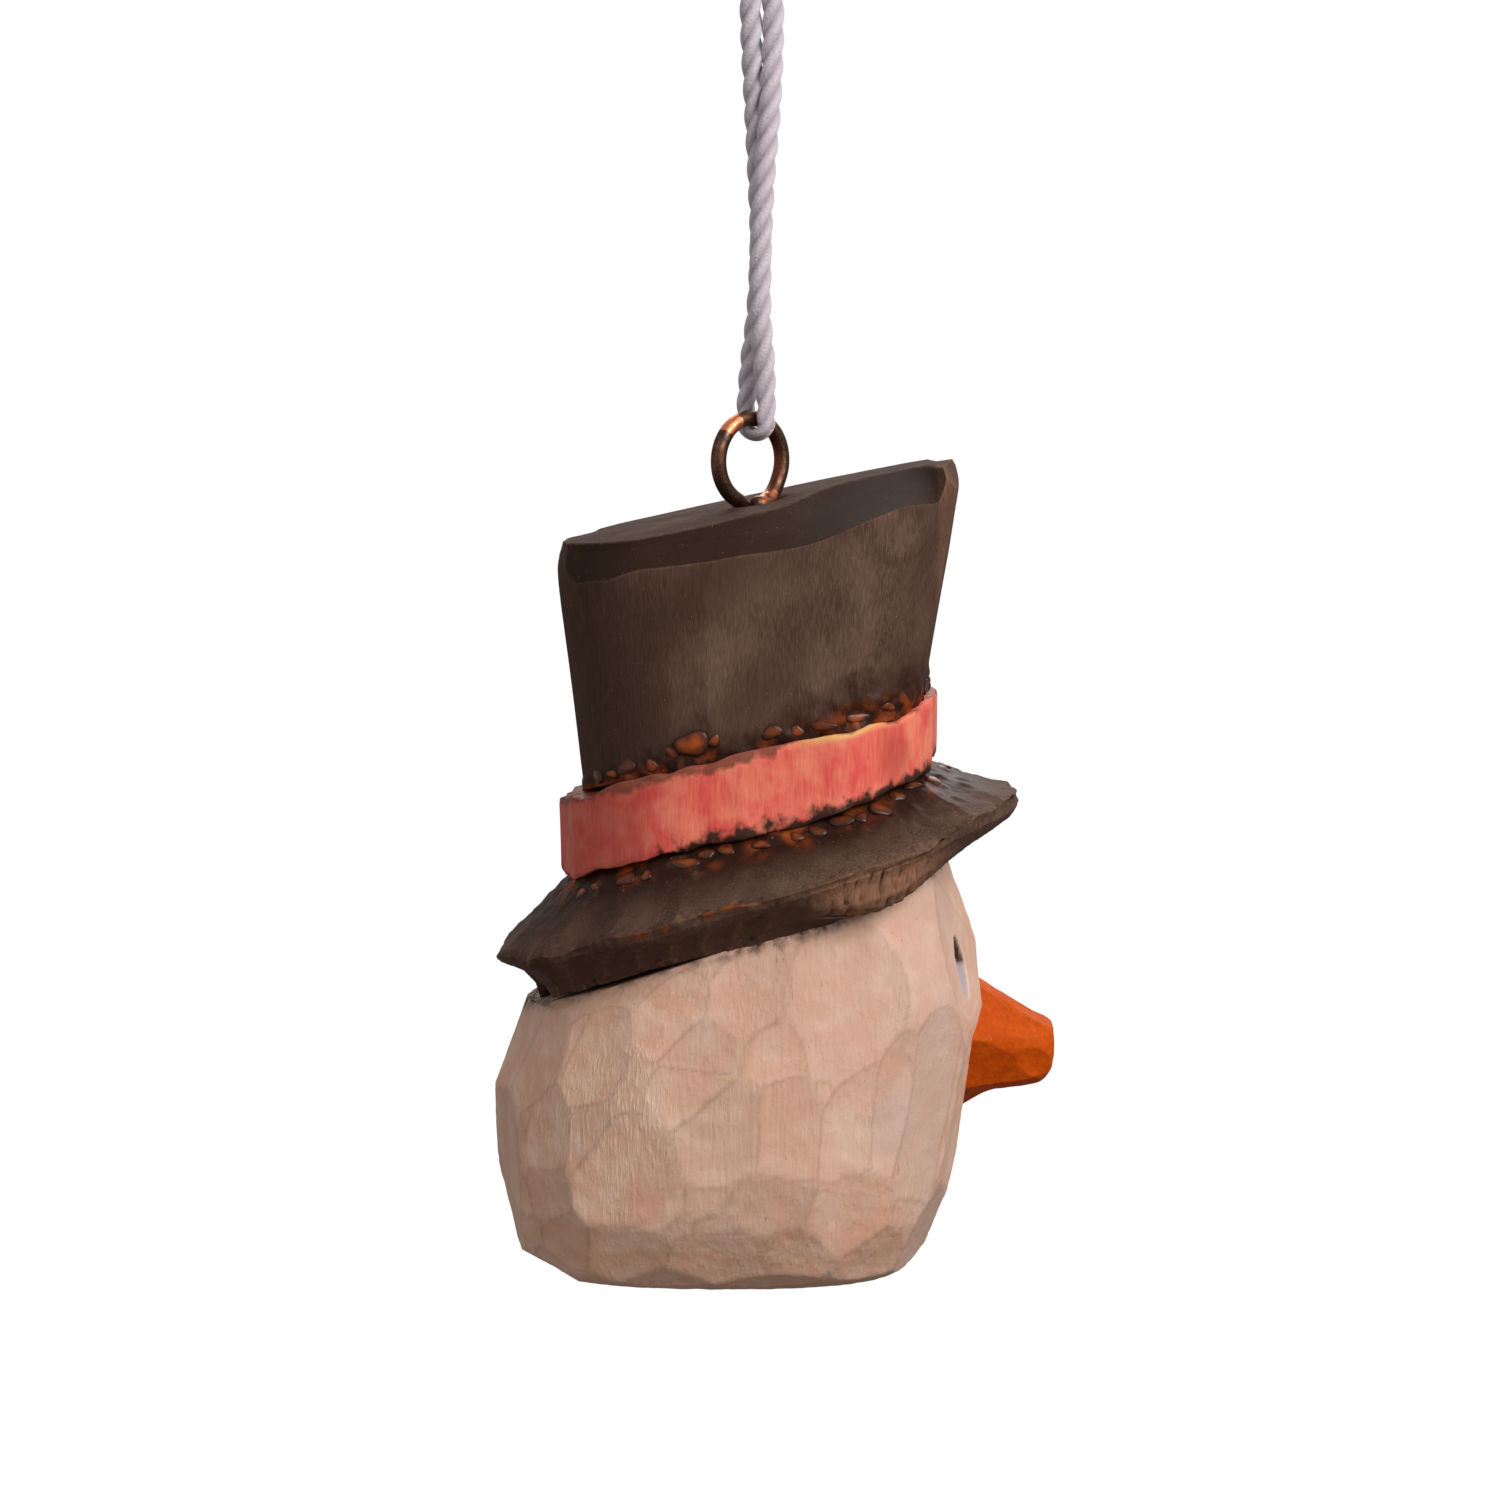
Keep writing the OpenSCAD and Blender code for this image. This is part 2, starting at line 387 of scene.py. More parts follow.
def knot_strand(lane, leg_x, tail_side):
    """One of the two cords: from its leg, round a trefoil that is open at its first lobe, out to its
    tail. The two lie side by side, lane either way of the trefoil's own line."""
    trefoil = np.stack([
        0.35 + lane + 1.9 * np.sin(3 * knot_turn),
        -knot_reach * np.cos(2 * knot_turn) * 0.95,
        knot_reach * np.sin(2 * knot_turn),
    ], axis=1)
    leg = np.array([[leg_x, 0, -4.75], [leg_x, -0.5, -4.2]])
    tail = np.array([
        [lane * 0.5, tail_side * 2.2, 3.4], [lane * 0.3, tail_side * 4.0, 5.0],
        [0, tail_side * 6.2, 7.3],
    ])
    return evenly(through(np.vstack([leg, trefoil[::-1], tail]), 900), 0.14)


def ramp(value, start, run):
    """0 up to start, then straight up to 1 over the run; a run below 0 rises the other way."""
    return np.clip((value - start) / run, 0, 1)


knot_side = np.array([1, 0.02, 0.03])
knot_skins = []
knot_lay_shade = []
for line in (knot_strand(knot_lane, 1.4, -1), knot_strand(-knot_lane, -0.6, 1)):
    gone = run_length(line)
    outline = strands(gone, 48)
    flare = 1 + 0.35 * ramp(gone, gone[-1] - fray_len, fray_len)[:, None] ** 2
    knot_skins.append(tube(line, knot_side, outline * flare * knot_pull))
    # The same depth in the lay, for the painted shade between the strands
    knot_lay_shade.append(np.concatenate([((1 - outline) / strand_dip).ravel(), [0, 0]]))
knot = make_piece("overhand_knot", knot_skins, "knot", "cotton", cotton, "cord_knot")
mark(knot, "strand_depth", np.concatenate(knot_lay_shade))

# ---- Screw eye ------------------------------------------------------------------------------
# Copper-plated steel wire, bent up out of its threaded shank and round a ring until its end lies in
# front of its own neck. The shank is turned into a pilot hole in the hat. Its bright patches are
# partly rubbed metal and partly painted highlight where the ring catches the light.

shank_len = 10
thread_pitch = 0.8
thread_depth = 0.22
thread_root = 0.05
# How far the plain wire runs on below the ring, the length of the point, the cut end's rounding
plain_len = 1.6
point_len = 1.6
cut_round = 0.35

# Round the ring from the left of its foot over the top to the front of its foot: [across, up, out]
sweep = np.radians(np.linspace(-122, -458, 60))
sweep_out = 1.05 * ramp(np.degrees(-sweep), 385, 61) ** 1.5
ring_rows = np.stack([ring_r * np.cos(sweep), ring_r * np.sin(sweep), sweep_out], axis=1)
shank_rows = np.array([
    [0, -ring_r - shank_len, -0.1], [0, -ring_r - shank_len * 0.6, -0.1],
    [0.05, -ring_r - plain_len, -0.1], [-0.35, -ring_r - 0.55, -0.2], [-1.1, -ring_r + 0.1, -0.15],
])
wire_line = evenly(through(np.vstack([shank_rows, ring_rows]), 2500), 0.1)
wire_gone = run_length(wire_line)
wire_turn = full_turn(40)
thread_share = ramp(wire_gone, shank_len - plain_len, -0.8) * ramp(wire_gone, 0, 1.5)
thread_turn = wire_gone[:, None] / thread_pitch - wire_turn / (2 * np.pi)
thread_wave = np.abs((thread_turn % 1) * 2 - 1)
wire_radius = wire_d / 2 + thread_share[:, None] * (thread_wave * thread_depth - thread_root)
wire_radius = wire_radius * np.clip(0.15 + wire_gone / point_len, 0, 1)[:, None]
nipped = ramp(wire_gone, wire_gone[-1], -cut_round)[:, None]
wire_radius = wire_radius * (0.7 + 0.3 * np.sqrt(nipped))
wire_place = ring_mid + wire_line @ np.stack([ring_across, upward, ring_axis])
wire_place[:, 2] += underside_z


def copper_finish():
    """Antique copper plate: brown-grey all over, with bright patches that are partly rubbed metal and
    partly painted highlight.
    """
    finish, tree = new_finish("antique_copper", Metallic=1.0, Specular_IOR_Level=0.5)
    bright = read_mark(tree, "rubbed")
    rubbed = blotches(tree, 2.2, 0.44, 0.62, detail=3, shift=3.1)
    specks = blotches(tree, 0.22, 0.7, 0.76, detail=3, shift=8.0)
    torn_edge = times(tree, blotches(tree, 0.5, 0.3, 0.7, detail=6, shift=1.0), 0.4)
    worn = rescaled(tree, plus(tree, bright, torn_edge), 0.62, 0.78)
    stains = blotches(tree, 0.6, 0.38, 0.66, detail=6)
    colour = coats(
        tree, (104, 84, 72),
        (stains, 1, (66, 50, 42)),
        (rubbed, 0.4, (132, 82, 60)),
        (read_mark(tree, "inner"), 1, (122, 66, 46)),
        # Bright copper where the mark says: rubbed metal, and painted highlight
        (worn, 1, (224, 138, 100)),
        (specks, 0.8, (200, 150, 120)),
    )
    scratch = blotches(tree, 0.25, 0.4, 0.6, detail=6, tall=0.4)
    rough = rescaled(tree, stains, 0, 1, 0.34, 0.55)
    join(tree, colour, scratch, depth=0.02, strength=0.5, roughness=rough)
    return finish


wire_skin = tube(wire_place, ring_axis, wire_radius)
screw_eye = make_piece(
    "bent_screw_eye", [wire_skin], "ring", "copper", copper_finish(), "screw_eye"
)
# Bright on the outside of the upper bend, and low down on the other side where the wire ends:
# rubbed metal, and a painted highlight where the ring catches the light
wire_angle = np.degrees(np.arctan2(wire_line[:, 1], wire_line[:, 0]))
in_ring = wire_gone > shank_len + 0.8
upper_glint_and_rub = ramp(np.abs(wire_angle - 126), 17, -5)
lower_glint_and_rub = ramp(np.abs(wire_angle + 72), 24, -6)
glint_and_rub_patch = np.where(in_ring, np.maximum(upper_glint_and_rub, lower_glint_and_rub), 0)[:, None]
outside = np.clip(0.78 + 0.35 * np.cos(wire_turn), 0, 1)
inside = np.clip(-np.cos(wire_turn) * 1.4 - 0.6, 0, 1)
put_marks(screw_eye, rubbed=glint_and_rub_patch * outside, inner=in_ring[:, None] * inside)

# ---- Hat crown ------------------------------------------------------------------------------
# The upper part of the one carved block: a flared crown with broad flat knife cuts down its sides, a
# long crescent pared off its near rim, and a thin black stain that is rubbed back to the wood.

side_tilt = -0.05
head_seam = [31.2, 0.355, side_tilt]
brim_seam = [41.2, 0.3, side_tilt]
band_seam = [47.5, 0.285, side_tilt]
crown_top = [69.2, 0.213, -0.01]


def plane_height(plane, x, y):
    """Height of a tilted plane, [height in the middle, slope to the front, slope to the left]."""
    return plane[0] + plane[1] * x + plane[2] * y


def block_skin(sections, rows, columns, smooth=True):
    """Skin round a stack of sections, each [plane, back x, front x, half width, squareness]. At angle
    a the outline is mid + half * |cos a|^(2/squareness) fore and aft, and half width times
    |sin a|^(2/squareness) to the sides; its height is the section's tilted plane."""
    table = np.array([[*plane, *outline] for plane, *outline in sections])
    if smooth:
        spread = through(table, rows)
    else:
        place = np.linspace(0, len(table) - 1, rows)
        spread = [np.interp(place, range(len(table)), column) for column in table.T]
        spread = np.stack(spread, axis=1)
    base, rise_x, rise_y, back, front, half, square = (column[:, None] for column in spread.T)
    cos, sin = np.cos(full_turn(columns)), np.sin(full_turn(columns))
    out = (front - back) / 2 * np.sign(cos) * np.abs(cos) ** (2 / square)
    x = (back + front) / 2 + out
    y = half * np.sign(sin) * np.abs(sin) ** (2 / square)
    return np.stack([x, y, base + rise_x * x + rise_y * y], axis=-1)


def facing(grid):
    """Outward direction at each point of a skin: the step round crossed with the step up."""
    round_step = np.roll(grid, -1, axis=1) - np.roll(grid, 1, axis=1)
    up_step = np.gradient(grid, axis=0)
    return unit(np.cross(round_step, up_step) + 1e-12)


out_of_reach = 1e6


def near_spot(skin, x, height):
    """The point of the snowman's right side that is nearest to that x and height."""
    away = (skin[..., 0] - x) ** 2 + (skin[..., 2] - height) ** 2
    return int((away + np.where(skin[..., 1] > 0, out_of_reach, 0)).argmin())


def round_spot(skin, azimuth, height):
    """The point nearest to that height in that direction; 0 is the nose's, 90 the snowman's left."""
    turn = np.radians(azimuth)
    off = skin[..., 0] * math.sin(turn) - skin[..., 1] * math.cos(turn)
    ahead = skin[..., 0] * math.cos(turn) + skin[..., 1] * math.sin(turn)
    away = off**2 + (skin[..., 2] - height) ** 2
    return int((away + np.where(ahead < 0, out_of_reach, 0)).argmin())


def stroke_at(skin, spot, lean, long_r, cross_r, depth):
    """A knife stroke cut square to the skin at one of its points."""
    place, outward = skin.reshape(-1, 3)[spot], facing(skin).reshape(-1, 3)[spot]
    return [place, outward, lean, long_r, cross_r, depth]


def gouged(skin, strokes, chance):
    """Takes knife and gouge strokes off a skin. A stroke is [place, outward direction, lean, long
    radius, cross radius, depth]. Over its place it is a shallow bowl, -depth + s*s / (2 * long
    radius) + t*t / (2 * cross radius), and what stands higher than the bowl is pushed down to it
    against the outward direction. Returns the skin and a tone of chance for each stroke's facet."""
    least_cut = 0.015
    points = skin.reshape(-1, 3).copy()
    tone = np.full(len(points), 0.5)
    for place, normal, lean, long_r, cross_r, depth in strokes:
        normal = unit(np.array(normal, float))
        across = unit(np.cross([0, 0, 1], normal))
        rise = np.cross(normal, across)
        turn = math.radians(lean)
        along = rise * math.cos(turn) + across * math.sin(turn)
        apart = points - place
        aside = apart @ np.cross(normal, along)
        bowl = (apart @ along) ** 2 / (2 * long_r) + aside**2 / (2 * cross_r)
        proud = np.maximum(apart @ normal - bowl + depth, 0)
        points -= normal * proud[:, None]
        tone = np.where(proud > least_cut, chance.random(), tone)
    return points.reshape(skin.shape), tone.reshape(skin.shape[:2])


def ripple(points, size, seed, count=14):
    """Smooth unevenness, about -1 to 1: a sum of waves of that size in many directions."""
    chance = np.random.default_rng(seed)
    ways = unit(chance.normal(size=(count, 3)))
    waves = ways * chance.uniform(0.6, 1.5, (count, 1)) * 2 * np.pi / size
    return np.cos(points @ waves.T + chance.uniform(0, 2 * np.pi, count)).sum(axis=-1) / 4


def beside(grid):
    """For each point, its neighbours above and below and the sum of all four."""
    above = np.concatenate([grid[:1], grid[:-1]])
    below = np.concatenate([grid[1:], grid[-1:]])
    return above, below, np.roll(grid, 1, axis=1) + np.roll(grid, -1, axis=1) + above + below


def soften(grid, passes):
    """Draws each point towards its four neighbours, as rubbing down does to an edge."""
    for _ in range(passes):
        grid = grid * 0.5 + 0.125 * beside(grid)[2]
    return grid


def edges(grid):
    """How sharply the skin turns at each point: above 0 on a ridge, below 0 in a groove. It is the
    distance that the point stands out from its neighbours' middle, over the distance between them."""
    least_gap = 0.05
    above, below, total = beside(grid)
    spread = np.linalg.norm(below - above, axis=-1) + least_gap
    sharp = ((grid - total / 4) * facing(grid)).sum(axis=-1) / spread * 4
    return soften(sharp, 2)


def raised(grid, amount):
    """Moves each point outwards by its amount in mm."""
    return grid + facing(grid) * amount[..., None]


def hump(value, middle, width):
    """A bell, 1 at the middle: e to the power of minus the square of the distance over the width."""
    return np.exp(-(((value - middle) / width) ** 2))


def near_side(grid, soft_width=7):
    """0 on the snowman's left, rising to 1 at that width to the right of the middle."""
    return np.clip(-grid[..., 1] / soft_width, 0, 1)


def along_side(grid, table):
    """Reads a table of [x, value] at each point."""
    rows = np.array(table)
    return np.interp(grid[..., 0], rows[:, 0], rows[:, 1])


def hung(grid):
    """Heights above the head's underside turned into the frame's own z."""
    return grid + [0, 0, underside_z]


def closing_rows(ring, count, smallest=0.02):
    """Rows that shrink a ring towards its middle, to close the end of a skin."""
    middle = ring.mean(axis=0)
    share = np.linspace(1, smallest, count + 1)[1:, None, None]
    return middle + (ring - middle) * share


def black_stain(name, wood, cuts_and_sheen, matt, glaze):
    """Thin brown-black stain over bare wood: cloudy and streaked along the grain, rubbed back to the
    wood where the rubbed mark says (on the crown that mark also carries painted shade), its own tone
    on every facet, brown and shiny where it has pooled. wood is the colour where it is rubbed, and the
    next argument the colour where it is pared: on the brim that one is a lighter brown, a painted
    highlight for the gloss of its scoops. matt is the roughness away from the pools, and glaze the
    coat on what is pared."""
    finish, tree = new_finish(name, Specular_IOR_Level=0.03, Coat_Roughness=0.42)
    streaks = blotches(tree, 0.2, 0.25, 0.75, tall=16, detail=6)
    clouds = blotches(tree, 3.2, 0.42, 0.62, tall=1.4, detail=14, shift=1.7)
    fibres = blotches(tree, 0.12, 0.42, 0.72, tall=14, detail=5, shift=4.0)
    specks = blotches(tree, 0.15, 0.73, 0.77, detail=2, shift=9.0)
    rubbed = read_mark(tree, "rubbed")
    pared = read_mark(tree, "pared")
    pools = blotches(tree, 2.4, 0.24, 0.4, detail=7, shift=6.0)
    pooled = times(tree, read_mark(tree, "by_band"), pools)
    worn = blotches(tree, 0.8, 0.35, 0.6, detail=5)
    ridge = times(tree, read_mark(tree, "edge", 0.05, 0.5), worn)
    torn = times(tree, read_mark(tree, "torn"), plus(tree, times(tree, fibres, 0.55), 0.5))
    drops = blotches(tree, 1.5, 0.42, 0.62, detail=6, shift=2.5)
    rust = times(tree, read_mark(tree, "amber"), drops)
    colour = coats(
        tree, (58, 42, 35),
        (streaks, 1, (76, 57, 48)),
        (read_mark(tree, "tone"), 0.3, (104, 82, 70)),
        (times(tree, rubbed, clouds), 0.3, wood),
        (times(tree, rubbed, fibres), 0.5, wood),
        # The pared colour: dark end grain on the crown, a painted highlight of lighter brown on the
        # brim
        (pared, 0.85, cuts_and_sheen),
        (ridge, 0.6, (136, 108, 86)),
        (torn, 1, (150, 109, 85)),
        (pooled, 1, (44, 24, 17)),
        (rust, 1, (138, 62, 24)),
        (read_mark(tree, "edge", -0.1, -0.5), 1, (26, 18, 15)),
        (specks, 0.55, (196, 178, 160)),
    )
    rough = rescaled(tree, pooled, 0, 1, matt, 0.4)
    coat = plus(tree, times(tree, pooled, 0.16), times(tree, pared, glaze))
    tree.links.new(coat, tree.nodes["Principled BSDF"].inputs["Coat Weight"])
    relief = plus(tree, streaks, times(tree, fibres, 0.6))
    join(tree, colour, relief, depth=0.03, strength=0.5, roughness=rough)
    return finish


crown_sections = [
    [band_seam, -15.8, 15.3, 15.5, 2.7],
    [[57, 0.2, 0], -17, 16.6, 16.4, 2.8],
    [[66, 0.215, 0.01], -17.9, 17.9, 17.2, 2.9],
    [crown_top, -17.3, 17.7, 16.4, 2.8],
]
crown_chance = np.random.default_rng(11)
crown_skin = block_skin(crown_sections, rows=140, columns=440)
crown_strokes = [
    # The broad flat of the right side, the facets at its two ends, and the small cuts in the rim
    stroke_at(crown_skin, near_spot(crown_skin, 3, 58), 0, 900, 500, 0.5),
    [[-14.3, -12.9, 58], [-0.74, -0.66, -0.03], 2, 900, 300, 0],
    [[16.1, -12.2, 60], [0.82, -0.57, -0.05], -2, 900, 200, 0],
    [[17.5, -2, 71.9], [0.84, -0.16, 0.52], 40, 200, 100, 0],
    [[17.5, 3, 72.0], [0.84, 0.2, 0.5], 40, 200, 100, 0],
    [[-17.3, -7, 65.0], [-0.8, -0.4, 0.5], 60, 60, 30, 0],
    stroke_at(crown_skin, round_spot(crown_skin, 95, 66.5), 80, 90, 30, 0.4),
    stroke_at(crown_skin, round_spot(crown_skin, 150, 65), 80, 60, 30, 0.35),
]
# Tall flats all round the rest of it
for azimuth in range(-14, 210, 32):
    spot = round_spot(crown_skin, azimuth, crown_chance.uniform(54, 62))
    lean = crown_chance.uniform(-4, 4)
    cross_r, depth = crown_chance.uniform(120, 400), crown_chance.uniform(0.5, 0.8)
    crown_strokes.append(stroke_at(crown_skin, spot, lean, 700, cross_r, depth))
crown_cut, crown_tone = gouged(crown_skin, crown_strokes, crown_chance)
crown_cut = soften(crown_cut, 1)
crown_cut = raised(crown_cut, 0.04 * ripple(crown_cut * [1, 1, 0.2], 5, 21))
# Above the band the surface is lumpy under its stain. How high up the lumps go: [x, height]
smear_height = [
    [-17, 1.0], [-12, 2.0], [-8, 2.8], [-5, 4.0], [-2.5, 2.0], [0, 1.8], [3, 3.4], [6, 3.2],
    [8, 4.2], [11, 3.8], [13, 4.4], [17, 2.0],
]
# How the right side's seam with the band wanders off its plane: [x, rise]
band_top_rise = [
    [-17, 0.2], [-13.7, 0.6], [-9.3, 0.4], [-5, 0.15], [-0.6, 0.05], [3.7, -0.3], [8, -0.6],
    [12.5, -0.8], [16, -0.3],
]
above_band = crown_cut[..., 2] - plane_height(band_seam, crown_cut[..., 0], crown_cut[..., 1])
smear = np.clip(1.25 - above_band / along_side(crown_cut, smear_height), 0, 1)
foot_drop = ramp(above_band, 3, -3) * (along_side(crown_cut, band_top_rise) - 0.15)
crown_cut[..., 2] += near_side(crown_cut) * foot_drop
low_smear = np.clip(1.3 - above_band / (0.45 * along_side(crown_cut, smear_height)), 0, 1)
lumps = 0.14 + 0.22 * ripple(crown_cut, 2.3, 24) + 0.08 * ripple(crown_cut, 1.0, 25)
crown_cut = raised(crown_cut, smear * lumps)

# The top goes in to the dished seat of the ring and the pilot hole, whose wall goes down to its end
hole_r = 0.95
wire_clear = 0.15
seat_r = ring_r + wire_d / 2 + wire_clear
seat_lowest_h = 66
hole_floor_h = ring_h - ring_r - shank_len - wire_clear


def top_height(x, y):
    """The flat top: its tilted plane, rounded down a little towards the near rim."""
    return plane_height(crown_top, x, y) - 0.0042 * np.minimum(y, 0) ** 2


# Where the crescent leaves the flat top and how steeply it falls from there: [x, y, fall]
crescent = through([
    [-18.5, -6, 1.1], [-16, -8, 1.0], [-13, -11.2, 0.9], [-9, -13.2, 0.8], [-2, -12.3, 0.64],
    [2.3, -8.6, 0.44], [6.5, -2.6, 0.26], [10.5, -0.6, 0.19], [13.4, -1.2, 0.2],
    [15.2, -4, 0.34], [16.4, -8, 0.7], [18.5, -12, 1.1],
], 200)


def pared_rim(points):
    """Takes the crescent off: what is higher than the slightly hollow line that leaves the flat top
    at the table's y and falls towards the near side is pushed down to it, square to that fall."""
    start = np.interp(points[..., 0], crescent[:, 0], crescent[:, 1])
    fall = np.interp(points[..., 0], crescent[:, 0], crescent[:, 2])
    reach = start - points[..., 1]
    belly = 0.01 * np.clip(reach, 0, 9) * (16 - reach) / 4
    level = top_height(points[..., 0], start) - fall * reach - belly
    lean = np.arctan(fall)
    proud = np.where(reach > 0, np.maximum(points[..., 2] - level, 0), 0) * np.cos(lean)
    way = np.stack([0 * lean, -np.sin(lean), np.cos(lean)], axis=-1)
    return points - way * proud[..., None], proud


rim = crown_cut[-1]
hole_turn = np.arctan2(rim[:, 1], rim[:, 0] - ring_x)
hole_edge = np.stack([
    ring_x + hole_r * np.cos(hole_turn), hole_r * np.sin(hole_turn), 0 * hole_turn,
], axis=1)
top_ring_count = 69
inward = np.linspace(0, 1, top_ring_count + 1)[1:, None, None]
top_rows = rim * (1 - inward) + hole_edge * inward
top_rows[..., 2] = top_height(top_rows[..., 0], top_rows[..., 1])
# The top meets the side's last ring over its outermost twelfth
rim_step = rim[:, 2] - top_height(rim[:, 0], rim[:, 1])
top_rows[..., 2] += rim_step * np.clip(1 - inward[..., 0] * 12, 0, 1)
uneven = 0.05 * ripple(top_rows * [0.4, 1.2, 1], 7, 22) + 0.025 * ripple(top_rows, 1.3, 23)
top_rows[..., 2] += uneven * np.sin(np.pi * inward[..., 0])
body_rows, crown_pared = pared_rim(np.concatenate([crown_cut, top_rows]))
from_ring = np.hypot(body_rows[..., 0] - ring_x, body_rows[..., 1])
# The top is a little hollow on the near side of the ring
body_rows[..., 2] -= 0.5 * hump(body_rows[..., 0], 0.8, 4.5) * hump(body_rows[..., 1], -6, 5.5)
seat = ring_h - np.sqrt(np.maximum(seat_r**2 - from_ring**2, 0))
in_seat = (from_ring < seat_r * 0.95) & (body_rows[..., 2] > seat_lowest_h)
body_rows[..., 2] = np.where(in_seat, np.minimum(body_rows[..., 2], seat), body_rows[..., 2])
foot_rows = 8
wall_rows = 8
hole_rows = np.repeat(body_rows[-1:], wall_rows, axis=0)
hole_rows[..., 2] = np.linspace(
    body_rows[-1, :, 2] - 0.3, np.full(len(hole_edge), hole_floor_h), wall_rows
)
crown_grid = np.concatenate([closing_rows(crown_cut[0], foot_rows)[::-1], body_rows, hole_rows])
crown_x, crown_h = crown_grid[..., 0], crown_grid[..., 2]
crown_near = near_side(crown_grid)
# Where the stain is rubbed back to the wood: at random, and in patches on the right side. The back end
# of the right side is rubbed less, a painted shade that darkens that facet.
crown_rub_and_shade = 0.4 + 0.35 * ripple(crown_grid * [1, 1, 0.7], 10, 26) + crown_near * (
    0.5 * hump(crown_x, 4, 10) * hump(crown_h, 59, 9)
    + 0.7 * hump(crown_x, 12, 4) * hump(crown_h, 66.5, 3)
    - 0.5 * hump(crown_x, -14, 4.5)
)
amber_here = 0.6 + ripple(crown_grid, 5, 27) + crown_near * np.clip(crown_x / 5, 0, 0.6)


def whole_crown(values):
    """Numbers for the crown's side carried on over its foot, with 0 over its top and in the hole."""
    side = np.pad(values, ((0, len(top_rows)), (0, 0)))
    return np.pad(side, ((foot_rows, wall_rows), (0, 0)), mode="edge")


crown_stain = black_stain("crown_stain", wood=(132, 104, 90), cuts_and_sheen=(42, 28, 22), matt=0.75, glaze=0)
crown = make_piece(
    "carved_crown", [hung(crown_grid)], "figure", "black_stain", crown_stain, "hat_crown"
)
put_marks(
    crown,
    edge=edges(crown_grid),
    rubbed=np.clip(crown_rub_and_shade, 0, 1),
    pared=np.pad(ramp(crown_pared, 0, 0.15), ((foot_rows, wall_rows), (0, 0))),
    by_band=whole_crown(smear),
    amber=whole_crown(low_smear) * np.clip(amber_here, 0, 1),
    torn=np.clip((crown_x - 15.6) / 1.2, 0, 0.35) * crown_near,
    tone=np.pad(crown_tone, ((foot_rows, len(top_rows) + wall_rows), (0, 0))),
)

# ---- Hat band -------------------------------------------------------------------------------
# A band left standing proud of the crown and stained thin coral red, so the grain shows. The black
# stain has bled into both its edges, and a sliver has split off its upper edge to bare wood.

band_proud = 0.8
hat_r = 16
band_sections = [
    [brim_seam, -16.8 - band_proud, 15.4 + band_proud, 15.8 + band_proud, 2.6],
    [band_seam, -17 - band_proud, 15.5 + band_proud, 15.5 + band_proud, 2.6],
]
# How the right side's foot wanders off its plane, as the crown's does above it: [x, rise]
band_foot_rise = [
    [-17, -0.5], [-13.7, -0.4], [-9.3, -0.3], [-5, -0.6], [-0.6, -0.9], [3.7, -1.4], [8, -1.3],
    [12.5, -1.1], [16, -0.4],
]
band_chance = np.random.default_rng(31)
band_skin = block_skin(band_sections, rows=60, columns=620, smooth=False)
band_strokes = [
    stroke_at(band_skin, near_spot(band_skin, 3.5, 45), 0, 900, 300, 0.35),
    [[-14.9, -12.6, 41], [-0.76, -0.65, 0], 0, 900, 200, 0],
    [[14.4, -12.9, 49], [0.72, -0.69, 0], 0, 900, 80, 0],
    # The chamfer on the back top corner
    [[-16.9, -7, 43.2], [-0.62, -0.3, 0.72], 90, 60, 40, 0],
]
# Flats all round the rest of it, half way up
for azimuth in range(-12, 206, 30):
    middle_h = 44.3 + 0.29 * hat_r * math.cos(math.radians(azimuth))
    spot = round_spot(band_skin, azimuth, middle_h)
    lean = band_chance.uniform(-5, 5)
    cross_r, depth = band_chance.uniform(90, 250), band_chance.uniform(0.3, 0.5)
    band_strokes.append(stroke_at(band_skin, spot, lean, 700, cross_r, depth))
band_cut, _ = gouged(band_skin, band_strokes, band_chance)
band_share = np.linspace(0, 1, len(band_cut))[:, None]
edge_round = ramp(np.minimum(band_share, 1 - band_share), 0.09, -0.09) ** 2
band_cut = raised(band_cut, -edge_round * (0.2 + 0.14 * ripple(band_cut, 2.2, 33)))
band_cut = raised(band_cut, 0.03 * ripple(band_cut * [1, 1, 0.3], 2.4, 34))
# The two edges wander where the knife ran along the seams
band_cut[..., 2] += (2 * band_share - 1) ** 3 * 0.16 * ripple(band_cut * [1, 1, 0], 3.5, 35)
top_rise, foot_rise = along_side(band_cut, band_top_rise), along_side(band_cut, band_foot_rise)
edge_rise = band_share * top_rise + (1 - band_share) * foot_rise
band_cut[..., 2] += near_side(band_cut) * edge_rise


def closed_ends(grid, foot, top):
    """The skin with that many more rows at its foot and top, which close it."""
    return np.concatenate([closing_rows(grid[0], foot)[::-1], grid, closing_rows(grid[-1], top)])


band_end_rows = 10
band_grid = closed_ends(band_cut, band_end_rows, band_end_rows)


